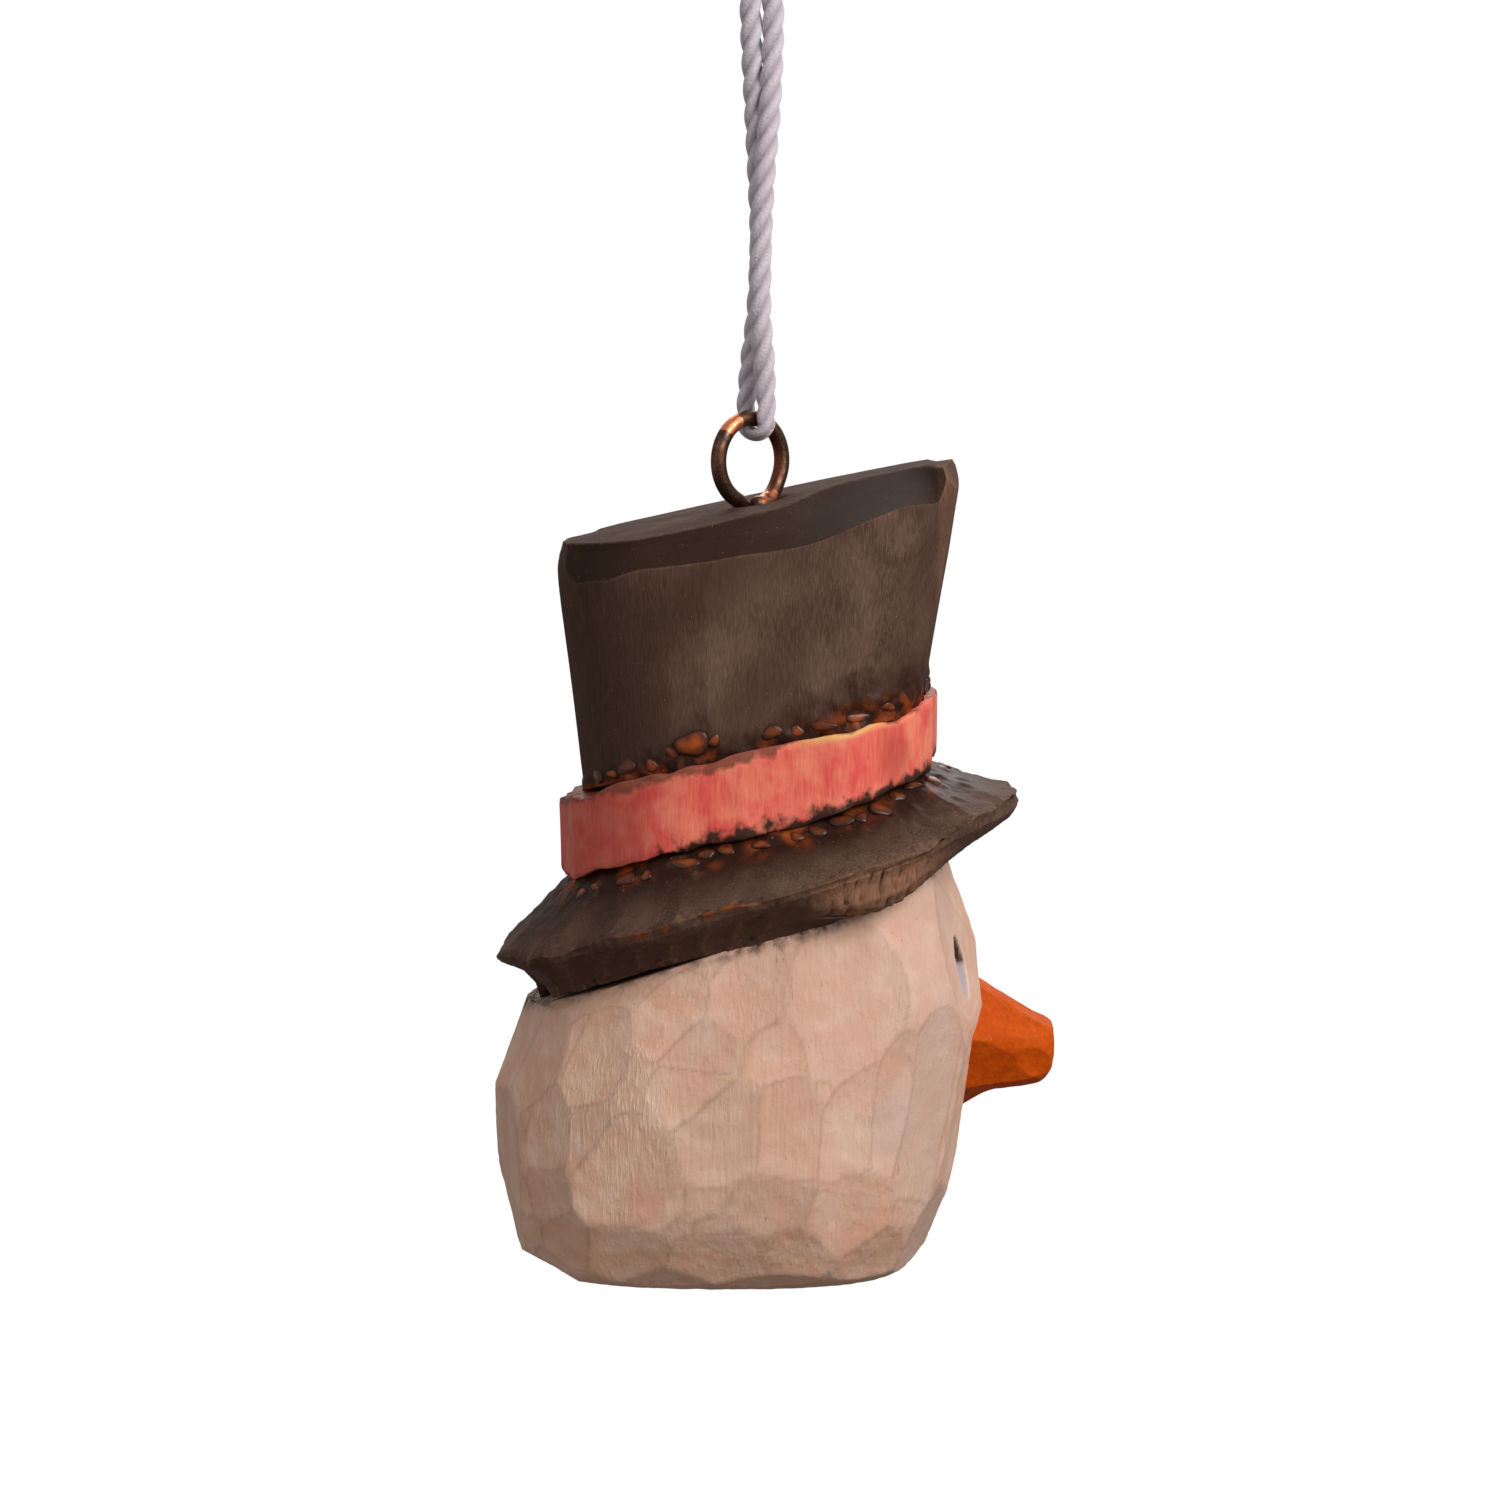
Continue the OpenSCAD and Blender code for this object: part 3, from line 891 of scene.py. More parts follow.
def red_stain():
    """Thin coral stain with the grain showing, bled over with black along its edges. The back end of
    its right side is painted darker red as shade, along with patches of deeper stain.
    """
    finish, tree = new_finish("coral_stain", Roughness=0.55, Specular_IOR_Level=0.25)
    grain = blotches(tree, 0.22, 0.3, 0.72, tall=9, detail=6)
    warm = blotches(tree, 3.2, 0.42, 0.62, tall=0.7, detail=6, shift=2.0)
    pink = blotches(tree, 1.8, 0.53, 0.66, tall=2.2, detail=6, shift=7.0)
    pores = blotches(tree, 0.14, 0.66, 0.74, tall=5, detail=3, shift=3.3)
    ragged = blotches(tree, 1.1, 0.26, 0.74, tall=1.3, detail=10, shift=5.0)
    near_top = plus(tree, read_mark(tree, "from_top", 1.0, 0.0), times(tree, ragged, 0.9))
    near_foot = plus(tree, read_mark(tree, "from_foot", 2.1, 0.0), times(tree, ragged, 0.85))
    colour = coats(
        tree, (232, 116, 98),
        (grain, 1, (212, 88, 76)),
        (warm, 0.55, (236, 146, 116)),
        (pink, 0.6, (218, 62, 70)),
        (pores, 0.35, (150, 52, 44)),
        # Darker red: painted shade on the back end of the right side, and patches of deeper stain
        (read_mark(tree, "deep"), 0.5, (156, 44, 40)),
        (read_mark(tree, "bare"), 0.9, (222, 170, 104)),
        (rescaled(tree, near_top, 0.9, 1.3), 0.85, (110, 60, 46)),
        (rescaled(tree, near_foot, 0.9, 1.25), 1, (62, 36, 27)),
        (read_mark(tree, "edge", -0.1, -0.5), 1, (70, 30, 22)),
    )
    join(tree, colour, grain, depth=0.04, strength=0.5)
    return finish


band_h = 6.3
band_x = band_grid[..., 0]
band_near = near_side(band_grid)
last_row = len(band_cut) - 1
band_row = np.clip(np.arange(len(band_grid)) - band_end_rows, 0, last_row)[:, None]
from_foot = band_h * band_row / last_row + 0 * band_x
from_top = band_h - from_foot
sliver = hump(band_x, 7.5, 3.4) * band_near * np.clip(1.1 - from_top / 0.6, 0, 1)
clean_foot = band_near * ramp(band_x, -7, -3) * 1.3
clean_top = band_near * (ramp(band_x, 1, 3) * 0.8 - 0.3)
# Painted shade: the right side of the band darkens towards its back end, where less light falls
deep_here = np.clip(band_near * (-7 - band_x) / 5, 0, 1)
band = make_piece(
    "carved_band", [hung(band_grid)], "figure", "red_stain", red_stain(), "hat_band"
)
put_marks(
    band,
    edge=edges(band_grid),
    from_top=from_top + clean_top,
    from_foot=from_foot + clean_foot,
    bare=np.clip(sliver * 1.6, 0, 1),
    deep=deep_here + np.clip(ripple(band_grid, 9, 36) - 0.5, 0, 1),
)

# ---- Hat brim -------------------------------------------------------------------------------
# The brim slopes out to a thin uneven rim. It is scooped out underneath on most of its way round, and
# left thick and fibrous by the near front, where it runs straight down on to the head.

brim_sections = [
    [head_seam, -19.6, 17.1, 17.7, 2.3],
    [[32.6, 0.335, 0], -20.0, 18.4, 18.2, 2.3],
    [[34, 0.315, 0], -21.2, 21.3, 20.2, 2.3],
    [[35.2, 0.31, 0], -23.1, 22.9, 21.6, 2.3],
    [[36, 0.31, 0], -23.4, 23.3, 22.0, 2.3],
    [[36.7, 0.31, 0], -22.9, 22.8, 21.5, 2.3],
    [brim_seam, -16.4, 15.3, 15.8, 2.5],
]
brim_chance = np.random.default_rng(41)
brim_skin = block_skin(brim_sections, rows=152, columns=580, smooth=False)
brim_share = np.linspace(0, 1, len(brim_skin))[:, None]
# The rim is at the fifth of the seven sections
rim_share = 4 / 6
rim_weight = hump(brim_share, rim_share, 0.16)
# Rise and fall along the right side, of the rim and of the foot on the head: [x, rise]
rim_rise = [
    [-22, 0.1], [-19.4, -0.3], [-16.9, -0.2], [-14.1, 0.75], [-9.3, 0.25], [-6.3, 0.6],
    [-1.9, 0.65], [-0.2, -0.1], [3.5, -0.2], [7.6, -0.1], [11.4, -0.4], [14.8, -0.6],
    [16.7, 0.2], [19.9, 0.6], [23, 0.3],
]
brim_foot_rise = [
    [-19, 0.3], [-13.7, 0.5], [-9.3, 0.5], [-5, 0.2], [0.2, -0.6], [6.3, -1.1], [10.7, -0.7],
    [16.2, -0.2],
]
brim_near = near_side(brim_skin)
far_rise = 0.7 * ripple(brim_skin * [1, 1, 0], 16, 42) * (1 - brim_near)
by_band = ramp(brim_share, 0.78, 0.22)
rises = rim_weight * (along_side(brim_skin, rim_rise) * brim_near + far_rise)
rises += ramp(brim_share, 0.2, -0.2) * along_side(brim_skin, brim_foot_rise) * brim_near
rises += by_band * (along_side(brim_skin, band_foot_rise) + 0.15) * brim_near
brim_skin[..., 2] += rises
# The thick stretch: the undercut is filled out here
thick = hump(brim_skin[..., 0], 10, 5.5) * brim_near
brim_skin = raised(brim_skin, 2.1 * thick * hump(brim_share, 0.27, 0.15))
# The front of the rim is blunt: it is filled out below by this much
blunt = 0.8
brim_skin[..., 0] += blunt * ramp(brim_skin[..., 0], 17.5, 4) * hump(brim_share, 0.42, 0.13)
brim_strokes = []
# Short deep cuts side by side in the undercut of the right side
for x in np.arange(-17.5, 3, 2.9):
    spot = near_spot(brim_skin, x, plane_height([33.6, 0.325, 0], x, 0))
    brim_strokes.append(stroke_at(brim_skin, spot, 28, 9, 3.2, 0.4))
# Broad cuts on the top of the right side: [x, height, lean, cross radius, depth]
for x, height, lean, cross_r, depth in [
    (-14, 34.2, 30, 30, 0.4), (-4, 38.0, 25, 30, 0.5), (6, 40.5, 10, 30, 0.55),
    (14.5, 42.6, -20, 24, 0.5), (-8.5, 35.8, 35, 18, 0.4), (0.5, 39.0, -60, 14, 0.4),
    (9, 41.2, 60, 14, 0.42), (18, 44.2, 20, 18, 0.5), (3.5, 38.3, 55, 16, 0.42),
    (-1.5, 36.9, 70, 20, 0.35), (-11.5, 36.0, 60, 16, 0.35),
]:
    spot = near_spot(brim_skin, x, height)
    brim_strokes.append(stroke_at(brim_skin, spot, lean, 60, cross_r, depth))
# A hollow across the front, by the band
brim_strokes.append(stroke_at(brim_skin, round_spot(brim_skin, 0, 44.3), 90, 60, 13, 0.75))
# Cuts of chance all round the rest of it, on the top and in the undercut
brim_r = 18.5
for azimuth in range(-15, 200, 17):
    out = brim_r * math.cos(math.radians(azimuth))
    spot = round_spot(brim_skin, azimuth, 38.6 + 0.31 * out)
    lean = brim_chance.uniform(-25, 25)
    cross_r, depth = brim_chance.uniform(24, 70), brim_chance.uniform(0.3, 0.5)
    brim_strokes.append(stroke_at(brim_skin, spot, lean, 90, cross_r, depth))
    spot = round_spot(brim_skin, azimuth + 8, 33.6 + 0.32 * out)
    lean = brim_chance.uniform(-30, 30)
    brim_strokes.append(stroke_at(brim_skin, spot, lean, 10, 4, brim_chance.uniform(0.3, 0.5)))
brim_cut, brim_tone = gouged(brim_skin, brim_strokes, brim_chance)
uneven = rim_weight * 0.12 * ripple(brim_cut, 2.4, 43) + 0.03 * ripple(brim_cut, 1.1, 44)
uneven += thick * hump(brim_share, 0.35, 0.22) * 0.12 * ripple(brim_cut * [1, 1, 0.3], 0.9, 45)
uneven += by_band * 0.18 * np.clip(ripple(brim_cut, 1.8, 46), 0, 1)
brim_cut = raised(brim_cut, uneven)
brim_end_rows = 8
brim_grid = closed_ends(brim_cut, brim_end_rows, brim_end_rows)
brim_x = brim_grid[..., 0]
brim_row = np.arange(len(brim_grid))[:, None] - brim_end_rows
brim_shares = np.clip(brim_row / (len(brim_cut) - 1), 0, 1) + 0 * brim_x
brim_thick = np.exp(-(((brim_x - 10.5) / 5.5) ** 4)) * near_side(brim_grid)
# Besides the pools by the band, stain has run amber just under the rim of the right side
rim_run = hump(brim_shares, 0.62, 0.08) * near_side(brim_grid) * hump(brim_x, -6, 4.5)
amber_here = np.clip(0.2 + ripple(brim_grid, 4, 48), 0, 1)
# The underside is pared, and its pared colour is lighter brown than the crown's: a painted highlight
# for the gloss on its scoops
brim_stain = black_stain(
    "brim_stain", wood=(138, 110, 96), cuts_and_sheen=(78, 55, 44), matt=0.6, glaze=0.16
)
brim = make_piece(
    "carved_brim", [hung(brim_grid)], "figure", "black_stain", brim_stain, "hat_brim"
)
put_marks(
    brim,
    edge=edges(brim_grid),
    rubbed=np.clip(0.55 + 0.35 * ripple(brim_grid, 12, 47), 0, 1),
    torn=np.clip(1.2 * brim_thick * hump(brim_shares, 0.42, 0.2), 0, 1),
    tone=np.pad(brim_tone, ((brim_end_rows, brim_end_rows), (0, 0)), mode="edge"),
    pared=ramp(brim_shares, 0.5, -0.08) * (1 - brim_thick),
    by_band=ramp(brim_shares, 0.84, 0.1),
    amber=ramp(brim_shares, 0.92, 0.06) * amber_here + 1.2 * rim_run,
)

# ---- Head -----------------------------------------------------------------------------------
# The lower part of the block, roughed out with a flat gouge: every stroke has left its own shallow
# facet. It has one thin coat of white wash, through which the pinkish wood and its flecks show.

head_sections = [
    [[0, 0, 0], -18.2, 13.2, 12, 2.5],
    [[2, 0.02, 0], -21.6, 15.7, 16.8, 2.5],
    [[8.5, 0.02, 0], -23.6, 17.9, 19.7, 2.5],
    [[16.5, 0.05, 0], -23.9, 19.4, 20.1, 2.4],
    [[22, 0.1, 0], -22.9, 20.4, 19.8, 2.4],
    [[27, 0.15, 0], -21.2, 19.7, 19.1, 2.4],
    [head_seam, -19.8, 17, 17.7, 2.3],
]
head_chance = np.random.default_rng(51)
head_skin = block_skin(head_sections, rows=140, columns=580)

# Planes down the back, the chin and the face: [x, height, direction fore and aft, direction up]
head_strokes = []
for x, height, fore, up in [
    (-21.9, 21.4, -0.92, 0.4), (-23.7, 13.2, -1, -0.07), (-22.4, 5.6, -0.97, -0.23),
    (-19.0, -0.3, -0.5, -0.86), (18.2, 11, 0.98, -0.17), (16.4, 4.2, 0.88, -0.46),
    (18.0, 34.5, 0.95, 0.32), (19.9, 28.4, 0.97, 0.25),
]:
    # The one on the near side makes the outline; its partner on the far side is hewn more by chance
    for side, astray in ((-1, 0), (1, 1)):
        lean = head_chance.uniform(-25, 25)
        y = side * head_chance.uniform(0, 1.5)
        place = [x, y, height + astray * head_chance.uniform(-2.5, 2.5)]
        sideways = side * head_chance.uniform(0.16, 0.3)
        way = [fore, sideways, up + astray * head_chance.uniform(-0.08, 0.08)]
        head_strokes.append([place, way, lean, 400, 200, 0])
# Strokes on the right side: [x, height, lean, long radius, cross radius, depth]
for x, height, *stroke in [
    (8.0, 26.5, 0, 1600, 330, 0.9), (15.6, 20, 0, 300, 160, 0.5), (-11.5, 10.2, 72, 400, 200, 0.75),
    (-19.1, 21.4, 18, 160, 80, 0.45), (-14.0, 22.5, 10, 150, 90, 0.4), (-7.6, 25.8, 0, 150, 60, 0.4),
    (-0.8, 27.0, 0, 100, 50, 0.45), (-5.8, 19.1, 90, 100, 40, 0.4), (-4.9, 22.5, 90, 80, 30, 0.4),
    (2.1, 22.6, 85, 80, 30, 0.45), (-3.1, 15.1, 30, 90, 50, 0.45), (2.6, 16.5, -8, 90, 36, 0.5),
    (7.3, 21.0, 10, 24, 12, 0.32), (6.0, 19.6, 25, 20, 9, 0.3), (8.6, 19.4, 15, 22, 11, 0.32),
    (8.2, 13.8, 35, 120, 60, 0.5), (11.6, 15.6, 4, 60, 22, 0.55), (1.4, 9.0, 5, 120, 80, 0.5),
    (8.3, 7.8, 45, 200, 140, 0.75), (15.0, 12.0, 8, 160, 100, 0.5), (-18.5, 9, 5, 200, 90, 0.35),
    (-11.9, 4.2, 90, 200, 90, 0.55), (-2.3, 3.6, 88, 140, 80, 0.5), (3.4, 4.1, 85, 120, 80, 0.5),
    (10.3, 3.1, 80, 140, 90, 0.6), (-7.7, 1.9, 90, 100, 50, 0.35), (1.4, 1.5, 90, 100, 50, 0.35),
    (-16.5, 4.5, 70, 120, 60, 0.4), (-18.5, 15.5, -8, 160, 60, 0.35), (13.5, 8.5, 20, 90, 60, 0.35),
]:
    head_strokes.append(stroke_at(head_skin, near_spot(head_skin, x, height), *stroke))
head_r = 19
seam_clear = 3.5
# Strokes of chance over the rest of it. The right side has none of them high up, and lower down they
# are half as deep there, so that the strokes above stay in charge: [height, count]
for height, count in [(27, 17), (21.5, 19), (15, 21), (9, 21), (3.5, 23)]:
    for azimuth in np.linspace(-180, 180, count):
        azimuth += head_chance.uniform(-7, 7)
        if height > 20 and -125 < azimuth < -15:
            continue
        seam_x = head_r * math.cos(math.radians(azimuth))
        top = plane_height(head_seam, seam_x, 0) - seam_clear
        spot = round_spot(head_skin, azimuth, min(height + head_chance.uniform(-2, 2), top))
        lean = head_chance.uniform(-70, 70)
        long_r, cross_r = head_chance.uniform(90, 220), head_chance.uniform(40, 110)
        depth = head_chance.uniform(0.25, 0.5) * (0.5 if -150 < azimuth < -20 else 1)
        head_strokes.append(stroke_at(head_skin, spot, lean, long_r, cross_r, depth))
head_cut, head_tone = gouged(head_skin, head_strokes, head_chance)


def outlines(tone):
    """1 along the line between two facets, fading over the points beside it."""
    across = tone != np.roll(tone, 1, axis=1)
    down = tone != np.concatenate([tone[:1], tone[:-1]])
    return np.clip(soften((across | down).astype(float), 1) * 1.4, 0, 1)


head_lines = outlines(head_tone)

# The eyes: one short deep gouge stroke each, carved after the face and painted in its hollow. Above
# eye_line_h they are dark, and pale below it.
eye_long_r = 3.7
eye_cross_r = 1.0
eye_depth = 1.15
eye_h = 28.3
eye_line_h = 28.0
eye_side = 6.5
face_x = 17.6
face_turn = math.radians(24)
eye_mark = np.zeros(head_cut.shape[:2])
for side in (-1, 1):
    way = [math.cos(face_turn), side * math.sin(face_turn), 0.22]
    spot = round_spot(head_cut, side * math.degrees(math.atan2(eye_side, face_x)), eye_h)
    before = head_cut
    place = head_cut.reshape(-1, 3)[spot]
    eye_stroke = [place, way, -4 * side, eye_long_r, eye_cross_r, eye_depth]
    head_cut, _ = gouged(head_cut, [eye_stroke], head_chance)
    eye_mark += np.linalg.norm(head_cut - before, axis=-1)
uneven = 0.02 * ripple(head_cut, 2.5, 52) + 0.012 * ripple(head_cut * [1, 1, 0.3], 0.8, 53)
head_cut = raised(head_cut, uneven)
head_end_rows = (22, 6)
head_grid = closed_ends(head_cut, *head_end_rows)
head_pad = (head_end_rows, (0, 0))


def white_wash():
    """One thin coat of white over pinkish wood: thicker and thinner patches, brown flecks along the
    grain, pale ridges where it has rubbed, and grey in the hollows between the gouge's facets."""
    finish, tree = new_finish("white_wash_coat", Roughness=0.62, Specular_IOR_Level=0.25)
    wood = blotches(tree, 8, 0.35, 0.68, tall=1.4, detail=6)
    film = blotches(tree, 3.4, 0.42, 0.66, tall=0.8, detail=7, shift=3.0)
    grain = blotches(tree, 0.3, 0.35, 0.75, tall=12, detail=5)
    flecks = blotches(tree, 0.26, 0.7, 0.745, tall=4.5, detail=2, shift=8.0)
    few = blotches(tree, 8, 0.46, 0.6, detail=2, shift=4.4)
    blue = blotches(tree, 0.3, 0.76, 0.8, tall=1.5, detail=3, shift=11.0)
    torn = blotches(tree, 0.22, 0.5, 0.64, tall=8, detail=4, shift=6.0)
    torn_here = times(tree, torn, read_mark(tree, "torn"))
    pink = blotches(tree, 4.5, 0.5, 0.66, detail=6, shift=13.0)
    smears = blotches(tree, 1.2, 0.4, 0.6, detail=6)
    smudge = times(tree, read_mark(tree, "from_brim", 1.0, 0.0), smears)
    grains = blotches(tree, 0.55, 0.62, 0.66, detail=4, shift=17.0)
    crumbs = times(tree, read_mark(tree, "from_brim", 1.4, 0.2), grains)
    colour = coats(
        tree, (226, 184, 158),
        (wood, 1, (208, 164, 138)),
        (film, 0.6, (234, 206, 190)),
        (pink, 0.55, (222, 164, 140)),
        (grain, 0.3, (188, 142, 116)),
        (read_mark(tree, "tone"), 0.5, (190, 158, 144)),
        (read_mark(tree, "cool"), 1, (190, 170, 166)),
        (times(tree, flecks, few), 0.75, (132, 92, 62)),
        (blue, 0.7, (120, 130, 150)),
        (torn_here, 0.6, (248, 226, 196)),
        (read_mark(tree, "lines"), 0.32, (144, 110, 92)),
        (read_mark(tree, "edge", 0.03, 0.25), 0.5, (240, 214, 194)),
        (smudge, 1, (72, 50, 40)),
        (crumbs, 0.8, (118, 122, 134)),
        (read_mark(tree, "eye_low"), 0.8, (158, 158, 172)),
        (read_mark(tree, "eye_high"), 1, (60, 30, 18)),
    )
    scuffs = blotches(tree, 0.9, 0.45, 0.6, detail=9, shift=1.3)
    worked = plus(tree, times(tree, grain, 0.5), times(tree, scuffs, 0.4))
    relief = plus(tree, worked, times(tree, torn_here, 1.8))
    join(tree, colour, relief, depth=0.06, strength=0.8)
    return finish


head_x, head_y, head_h = head_grid[..., 0], head_grid[..., 1], head_grid[..., 2]
head_near = near_side(head_grid)
eye_inside = ramp(np.pad(eye_mark, head_pad), 0.04, 0.15)
eye_upper = ramp(head_h, eye_line_h, 0.4)
seam_h = plane_height(head_seam, head_x, head_y)
torn_patch = hump(head_x, -12.5, 4.5) * hump(head_h, 17.5, 4.5) * head_near
cool_spread = ((head_x - 11.6) / 1.9) ** 2 + ((head_h - 15.5) / 3.4) ** 2
cool_oval = np.exp(-(cool_spread**2)) * head_near
head = make_piece("carved_head", [hung(head_grid)], "figure", "white_wash", white_wash(), "head")
put_marks(
    head,
    edge=edges(head_grid),
    tone=np.pad(head_tone, head_pad, constant_values=0.5),
    lines=np.pad(head_lines, head_pad),
    torn=torn_patch + 0.35 * np.clip(ripple(head_grid, 9, 54) - 0.4, 0, 1),
    cool=0.45 * cool_oval + 0.3 * head_near * hump(head_x, 15.6, 2.6),
    from_brim=seam_h + along_side(head_grid, brim_foot_rise) * head_near - head_h,
    eye_low=eye_inside * (1 - eye_upper),
    eye_high=eye_inside * eye_upper,
)

# ---- Nose -----------------------------------------------------------------------------------
# A short blunt carrot standing out of the face, pared with a few strokes and painted orange. The
# paint is knocked off in spots on its edges.

# From root to tip: [x, lowest, highest, half width]
nose_sections = [
    [16.6, 12.6, 27.6, 6.4], [18.8, 14.2, 26.6, 6.0], [20.9, 15.7, 25.4, 5.0], [23.3, 16.1, 23.9, 4.0],
    [25.5, 16.5, 22.7, 3.1], [26.5, 17.5, 22.1, 2.5], [26.8, 18.6, 21.6, 1.9],
]
nose_chance = np.random.default_rng(61)
nose_columns = 180
nose_round = 0.85
nose_x, nose_low, nose_high, nose_half = (
    column[:, None] for column in through(nose_sections, 90).T
)
nose_turn = full_turn(nose_columns)
nose_cos, nose_sin = np.cos(nose_turn), np.sin(nose_turn)
nose_up = (nose_high - nose_low) / 2 * np.sign(nose_sin) * np.abs(nose_sin) ** nose_round
nose_skin = np.stack([
    nose_x + 0 * nose_turn,
    nose_half * np.sign(nose_cos) * np.abs(nose_cos) ** nose_round,
    (nose_low + nose_high) / 2 + nose_up,
], axis=-1)
nose_strokes = [
    # The lit flat above the ridge, the shaded flat under it, and the two scoops in that
    [[23.5, -3.4, 22.4], [0.25, -0.8, 0.55], 80, 200, 60, 0],
    [[23.4, -3.5, 18.6], [0.15, -0.9, -0.42], 80, 200, 60, 0],
    stroke_at(nose_skin, near_spot(nose_skin, 22.0, 17.8), 70, 9, 7, 0.5),
    stroke_at(nose_skin, near_spot(nose_skin, 24.6, 18.6), 80, 9, 7, 0.4),
]
# Small cuts of chance all the way round
for turn in range(8):
    spot = int(nose_chance.integers(20, 75)) * nose_columns + (turn * 22 + 280) % nose_columns
    lean = nose_chance.uniform(50, 90)
    nose_strokes.append(stroke_at(nose_skin, spot, lean, 40, nose_chance.uniform(14, 30), 0.22))
nose_cut, nose_tone = gouged(nose_skin, nose_strokes, nose_chance)
nose_lines = outlines(nose_tone)
nose_cut = soften(nose_cut, 1) + 0.02 * ripple(nose_cut, 1.6, 62)[..., None]
nose_end_rows = (4, 14)
nose_grid = closed_ends(nose_cut, *nose_end_rows)


def orange_paint():
    """Satin orange paint, brushed on: redder where it is thin, chipped to pale wood in spots."""
    finish, tree = new_finish("carrot_paint", Roughness=0.6, Specular_IOR_Level=0.08)
    thin = blotches(tree, 1.8, 0.38, 0.66, detail=6)
    dabs = blotches(tree, 0.5, 0.35, 0.7, detail=6, shift=2.0)
    chips = blotches(tree, 0.3, 0.72, 0.76, detail=4, shift=5.0)
    colour = coats(
        tree, (192, 76, 5),
        (thin, 1, (180, 68, 5)),
        (dabs, 0.3, (230, 106, 22)),
        (read_mark(tree, "lines"), 0.25, (146, 52, 8)),
        (read_mark(tree, "edge", 0.08, 0.5), 0.4, (238, 126, 48)),
        (chips, 0.6, (222, 172, 120)),
    )
    join(tree, colour, dabs, depth=0.04, strength=0.5)
    return finish


nose = make_piece(
    "carved_nose", [hung(nose_grid)], "figure", "orange_paint", orange_paint(), "carrot_nose"
)
put_marks(nose, edge=edges(nose_grid), lines=np.pad(nose_lines, (nose_end_rows, (0, 0))))

# ---- Beads along the seams ------------------------------------------------------------------
# Stain and varnish that pooled in the seams' knife cuts and dried as glossy drops, amber where they
# are thin. They stand on the crown's foot, on the brim at the band's foot, and under the brim.

# On the right side: [x, height, length, width]
crown_beads = [
    [-13.9, 45.4, 1.5, 1.2], [-12.6, 45.9, 1.2, 0.9], [-11.3, 46.6, 1.7, 1.7],
    [-9.2, 46.8, 1.3, 1.2], [-7.4, 48.0, 1.4, 1.2], [-5.6, 48.9, 2.8, 2.5], [-3.6, 49.2, 1.2, 1.0],
    [1.4, 49.8, 1.7, 1.4], [3.4, 50.0, 1.4, 0.9], [5.6, 50.3, 2.2, 0.9], [8.6, 51.0, 2.6, 0.8],
    [11.4, 51.9, 1.8, 0.9],
]
brim_beads = [
    [-15.4, 35.2, 1.3, 1.1], [-14.2, 36.0, 1.0, 0.8], [-11.4, 37.0, 1.9, 1.6], [-9.6, 37.3, 1.2, 1.0],
    [-6.2, 38.6, 2.4, 1.4], [-4.4, 39.2, 1.6, 1.0], [-2.6, 39.7, 1.9, 1.1], [0.2, 40.2, 1.5, 1.0],
    [3.4, 40.8, 1.4, 0.9], [5.2, 41.3, 1.6, 1.2], [7.3, 42.2, 2.2, 1.4], [9.0, 42.5, 1.3, 1.0],
    [10.6, 43.0, 2.1, 1.8], [12.2, 43.9, 1.4, 1.3], [13.4, 44.6, 1.8, 1.4],
]
under_beads = [[6.4, 34.4, 2.2, 1.0], [8.0, 34.9, 1.2, 0.8], [-8.4, 30.0, 1.0, 0.7]]
bead_chance = np.random.default_rng(71)


def far_beads(grid, plane, offset, count):
    """Beads of chance sizes along a seam on the other sides, offset above its plane: for each the
    point of the grid under it, its length and its width."""
    rows = []
    for azimuth in np.linspace(-20, 200, count):
        azimuth += bead_chance.uniform(-8, 8)
        turn = math.radians(azimuth)
        height = plane_height(plane, hat_r * math.cos(turn), hat_r * math.sin(turn)) + offset
        size = bead_chance.uniform(0.9, 2.1)
        rows.append([round_spot(grid, azimuth, height), size, size * bead_chance.uniform(0.6, 0.9)])
    return rows


bead_spots = []
for grid, rows, plane, offset, count in [
    (crown_cut, crown_beads, band_seam, 0.9, 16),
    (brim_cut, brim_beads, brim_seam, -1.0, 18),
    (brim_cut, under_beads, head_seam, 0.8, 4),
]:
    outward = facing(soften(grid, 12)).reshape(-1, 3)
    spots = [[near_spot(grid, x, height), length, width] for x, height, length, width in rows]
    spots += far_beads(grid, plane, offset, count)
    points = grid.reshape(-1, 3)
    bead_spots += [[points[spot], outward[spot], *size] for spot, *size in spots]

bead_lift = np.linspace(-np.pi / 2, np.pi / 2, 14)[1:-1, None]
bead_turn = full_turn(24)
bead_skins = []
for place, normal, length, width in bead_spots:
    # A flat oval drop, a little lumpy, that lies along the seam
    along = unit(np.cross(normal, upward))
    rise = np.cross(normal, along)
    lump = 1 + 0.16 * np.cos(2 * bead_turn + place[0]) + 0.1 * np.cos(3 * bead_turn + 2 * place[2])
    out = np.cos(bead_lift) * lump
    bead_skins.append(
        place
        + (out * np.cos(bead_turn) * length / -2)[..., None] * along
        + (out * np.sin(bead_turn) * width / 2)[..., None] * rise
        + (np.sin(bead_lift) * (0.08 + 0.13 * width) + 0 * bead_turn)[..., None] * normal
    )
bead_rise = np.clip(np.sin(bead_lift) * 1.8 - 0.85, 0, 1) + 0 * bead_turn
bead_rise = np.concatenate([bead_rise.ravel(), [0, 1]])
bead_tones = bead_chance.uniform(0.25, 1, (len(bead_skins), 1))


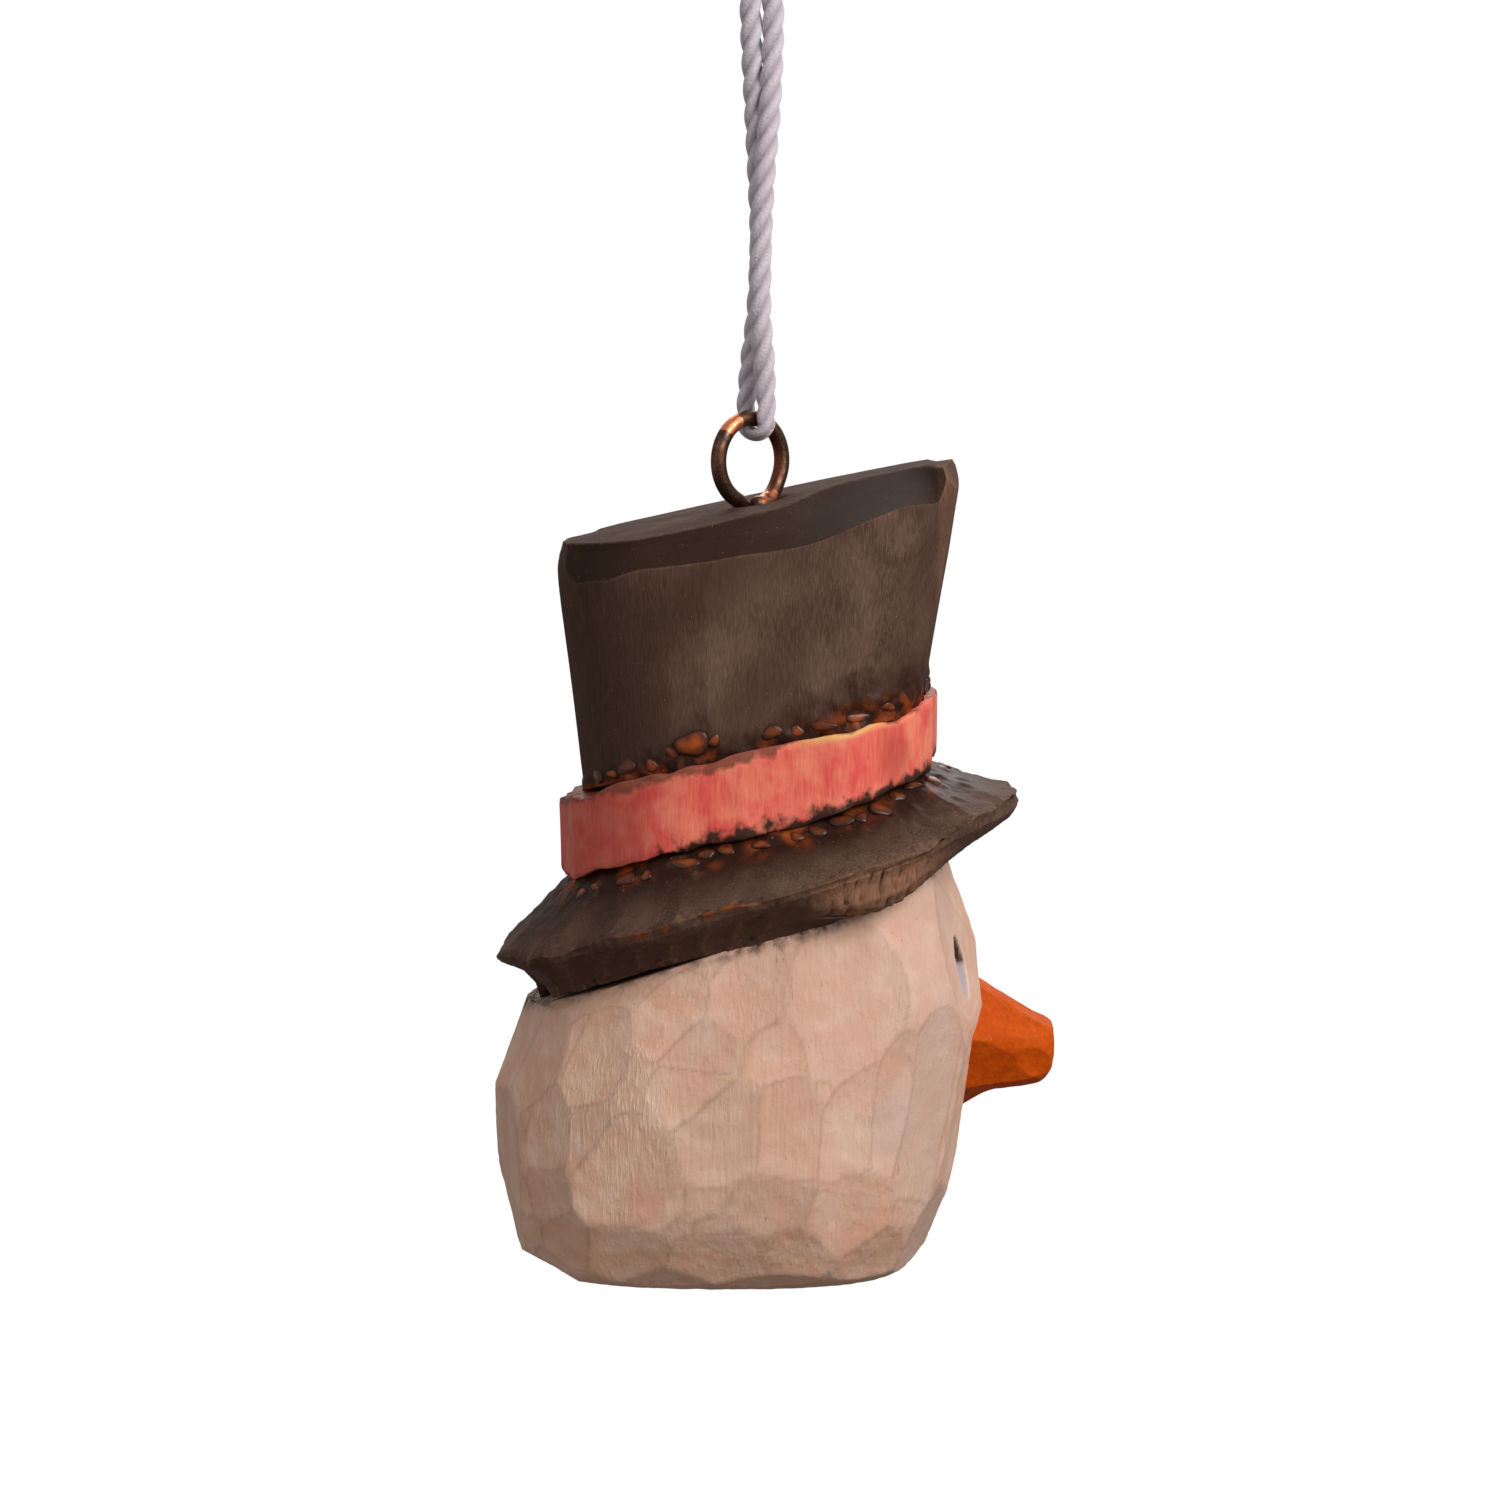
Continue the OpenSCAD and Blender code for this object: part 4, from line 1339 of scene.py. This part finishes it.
def amber_varnish():
    """Dried varnish tinted by the stain under it: orange amber on top, dark brown round the foot."""
    finish, tree = new_finish("amber_drops", Roughness=0.36, Specular_IOR_Level=0.3)
    thin = times(tree, read_mark(tree, "rise"), blotches(tree, 1.3, 0.3, 0.62, detail=6))
    lumps = blotches(tree, 0.5, 0.3, 0.7, detail=4)
    join(tree, coats(tree, (52, 26, 17), (thin, 1, (178, 84, 30))), lumps, depth=0.04, strength=0.5)
    return finish


bead_grids = [hung(skin) for skin in bead_skins]
beads = make_piece("seam_beads", bead_grids, "figure", "black_stain", amber_varnish())
mark(beads, "rise", (bead_tones * bead_rise).ravel())

# ---- Studio ---------------------------------------------------------------------------------
# A pale seamless sweep all round, far enough off to take no shadow, a soft sky, and three square
# lamps: a strong one high at the front right, a weak one at the front left, and one behind.

sweep_profile = through([
    [0.001, -600], [600, -600], [1000, -560], [1250, -350], [1350, 50], [1360, 900], [1360, 2600],
], 90)
sweep_turn = full_turn(96)
sweep_grid = np.stack([
    sweep_profile[:, :1] * np.cos(sweep_turn),
    sweep_profile[:, :1] * np.sin(sweep_turn),
    sweep_profile[:, 1:] + 0 * sweep_turn,
], axis=-1)
floor_points, floor_faces = closed_skin(sweep_grid)
# Open at the top, and seen from inside
lid = len(floor_points) - 1
floor_faces = [face[::-1] for face in floor_faces if lid not in face]
floor_mesh = bpy.data.meshes.new("studio_floor")
floor_mesh.from_pydata((floor_points[:-1] / 1000).tolist(), [], floor_faces)
floor_mesh.shade_smooth()
floor = bpy.data.objects.new("studio_floor", floor_mesh)
bpy.context.scene.collection.objects.link(floor)
floor.visible_diffuse = False
floor.visible_glossy = False
floor.visible_shadow = False
floor_paper = bpy.data.materials.new("floor_paper")
floor_paper.use_nodes = True
paper_tree = floor_paper.node_tree
paper_tree.nodes.remove(paper_tree.nodes["Principled BSDF"])
paper_light = add(paper_tree, "Emission", {"Color": (1, 1, 1, 1), "Strength": 1.02}).outputs[0]
paper_tree.links.new(paper_light, paper_tree.nodes["Material Output"].inputs["Surface"])
floor_mesh.materials.append(floor_paper)

world = bpy.data.worlds.new("studio")
world.use_nodes = True
bpy.context.scene.world = world
world_tree = world.node_tree
direction = add(world_tree, "TexCoord").outputs["Generated"]
how_high = add(world_tree, "SeparateXYZ", {0: direction}).outputs[2]
sky = add(world_tree, "ValToRGB", {0: plus(world_tree, times(world_tree, how_high, 0.5), 0.5)})
sky.color_ramp.elements[0].color = (0.13, 0.115, 0.1, 1)
sky.color_ramp.elements[1].color = (0.5, 0.48, 0.46, 1)
world_tree.links.new(sky.outputs[0], world_tree.nodes["Background"].inputs["Color"])
world_tree.nodes["Background"].inputs["Strength"].default_value = 1.0


band_z = -0.07


def soft_light(name, place, size, watts, colour):
    """A square lamp of that size in metres, aimed at the hat's band."""
    lamp = bpy.data.objects.new(name, bpy.data.lights.new(name, "AREA"))
    lamp.data.size = size
    lamp.data.energy = watts
    lamp.data.color = colour
    lamp.location = place
    x, y, z = np.array([0, 0, band_z]) - np.array(place)
    tilt = math.acos(-z / math.hypot(x, y, z))
    lamp.rotation_euler = (tilt, 0, math.atan2(y, x) - math.pi / 2)
    bpy.context.scene.collection.objects.link(lamp)


soft_light("key", (0.42, -0.4, 0.3), 0.36, 4.4, (1, 0.965, 0.92))
soft_light("fill", (-0.5, -0.42, 0.1), 0.5, 0.5, (1, 0.98, 0.97))
soft_light("back", (0.05, 0.55, 0.3), 0.5, 2.2, (1, 0.98, 0.95))

bpy.context.scene.view_settings.view_transform = "Standard"
bpy.context.scene.view_settings.look = "None"
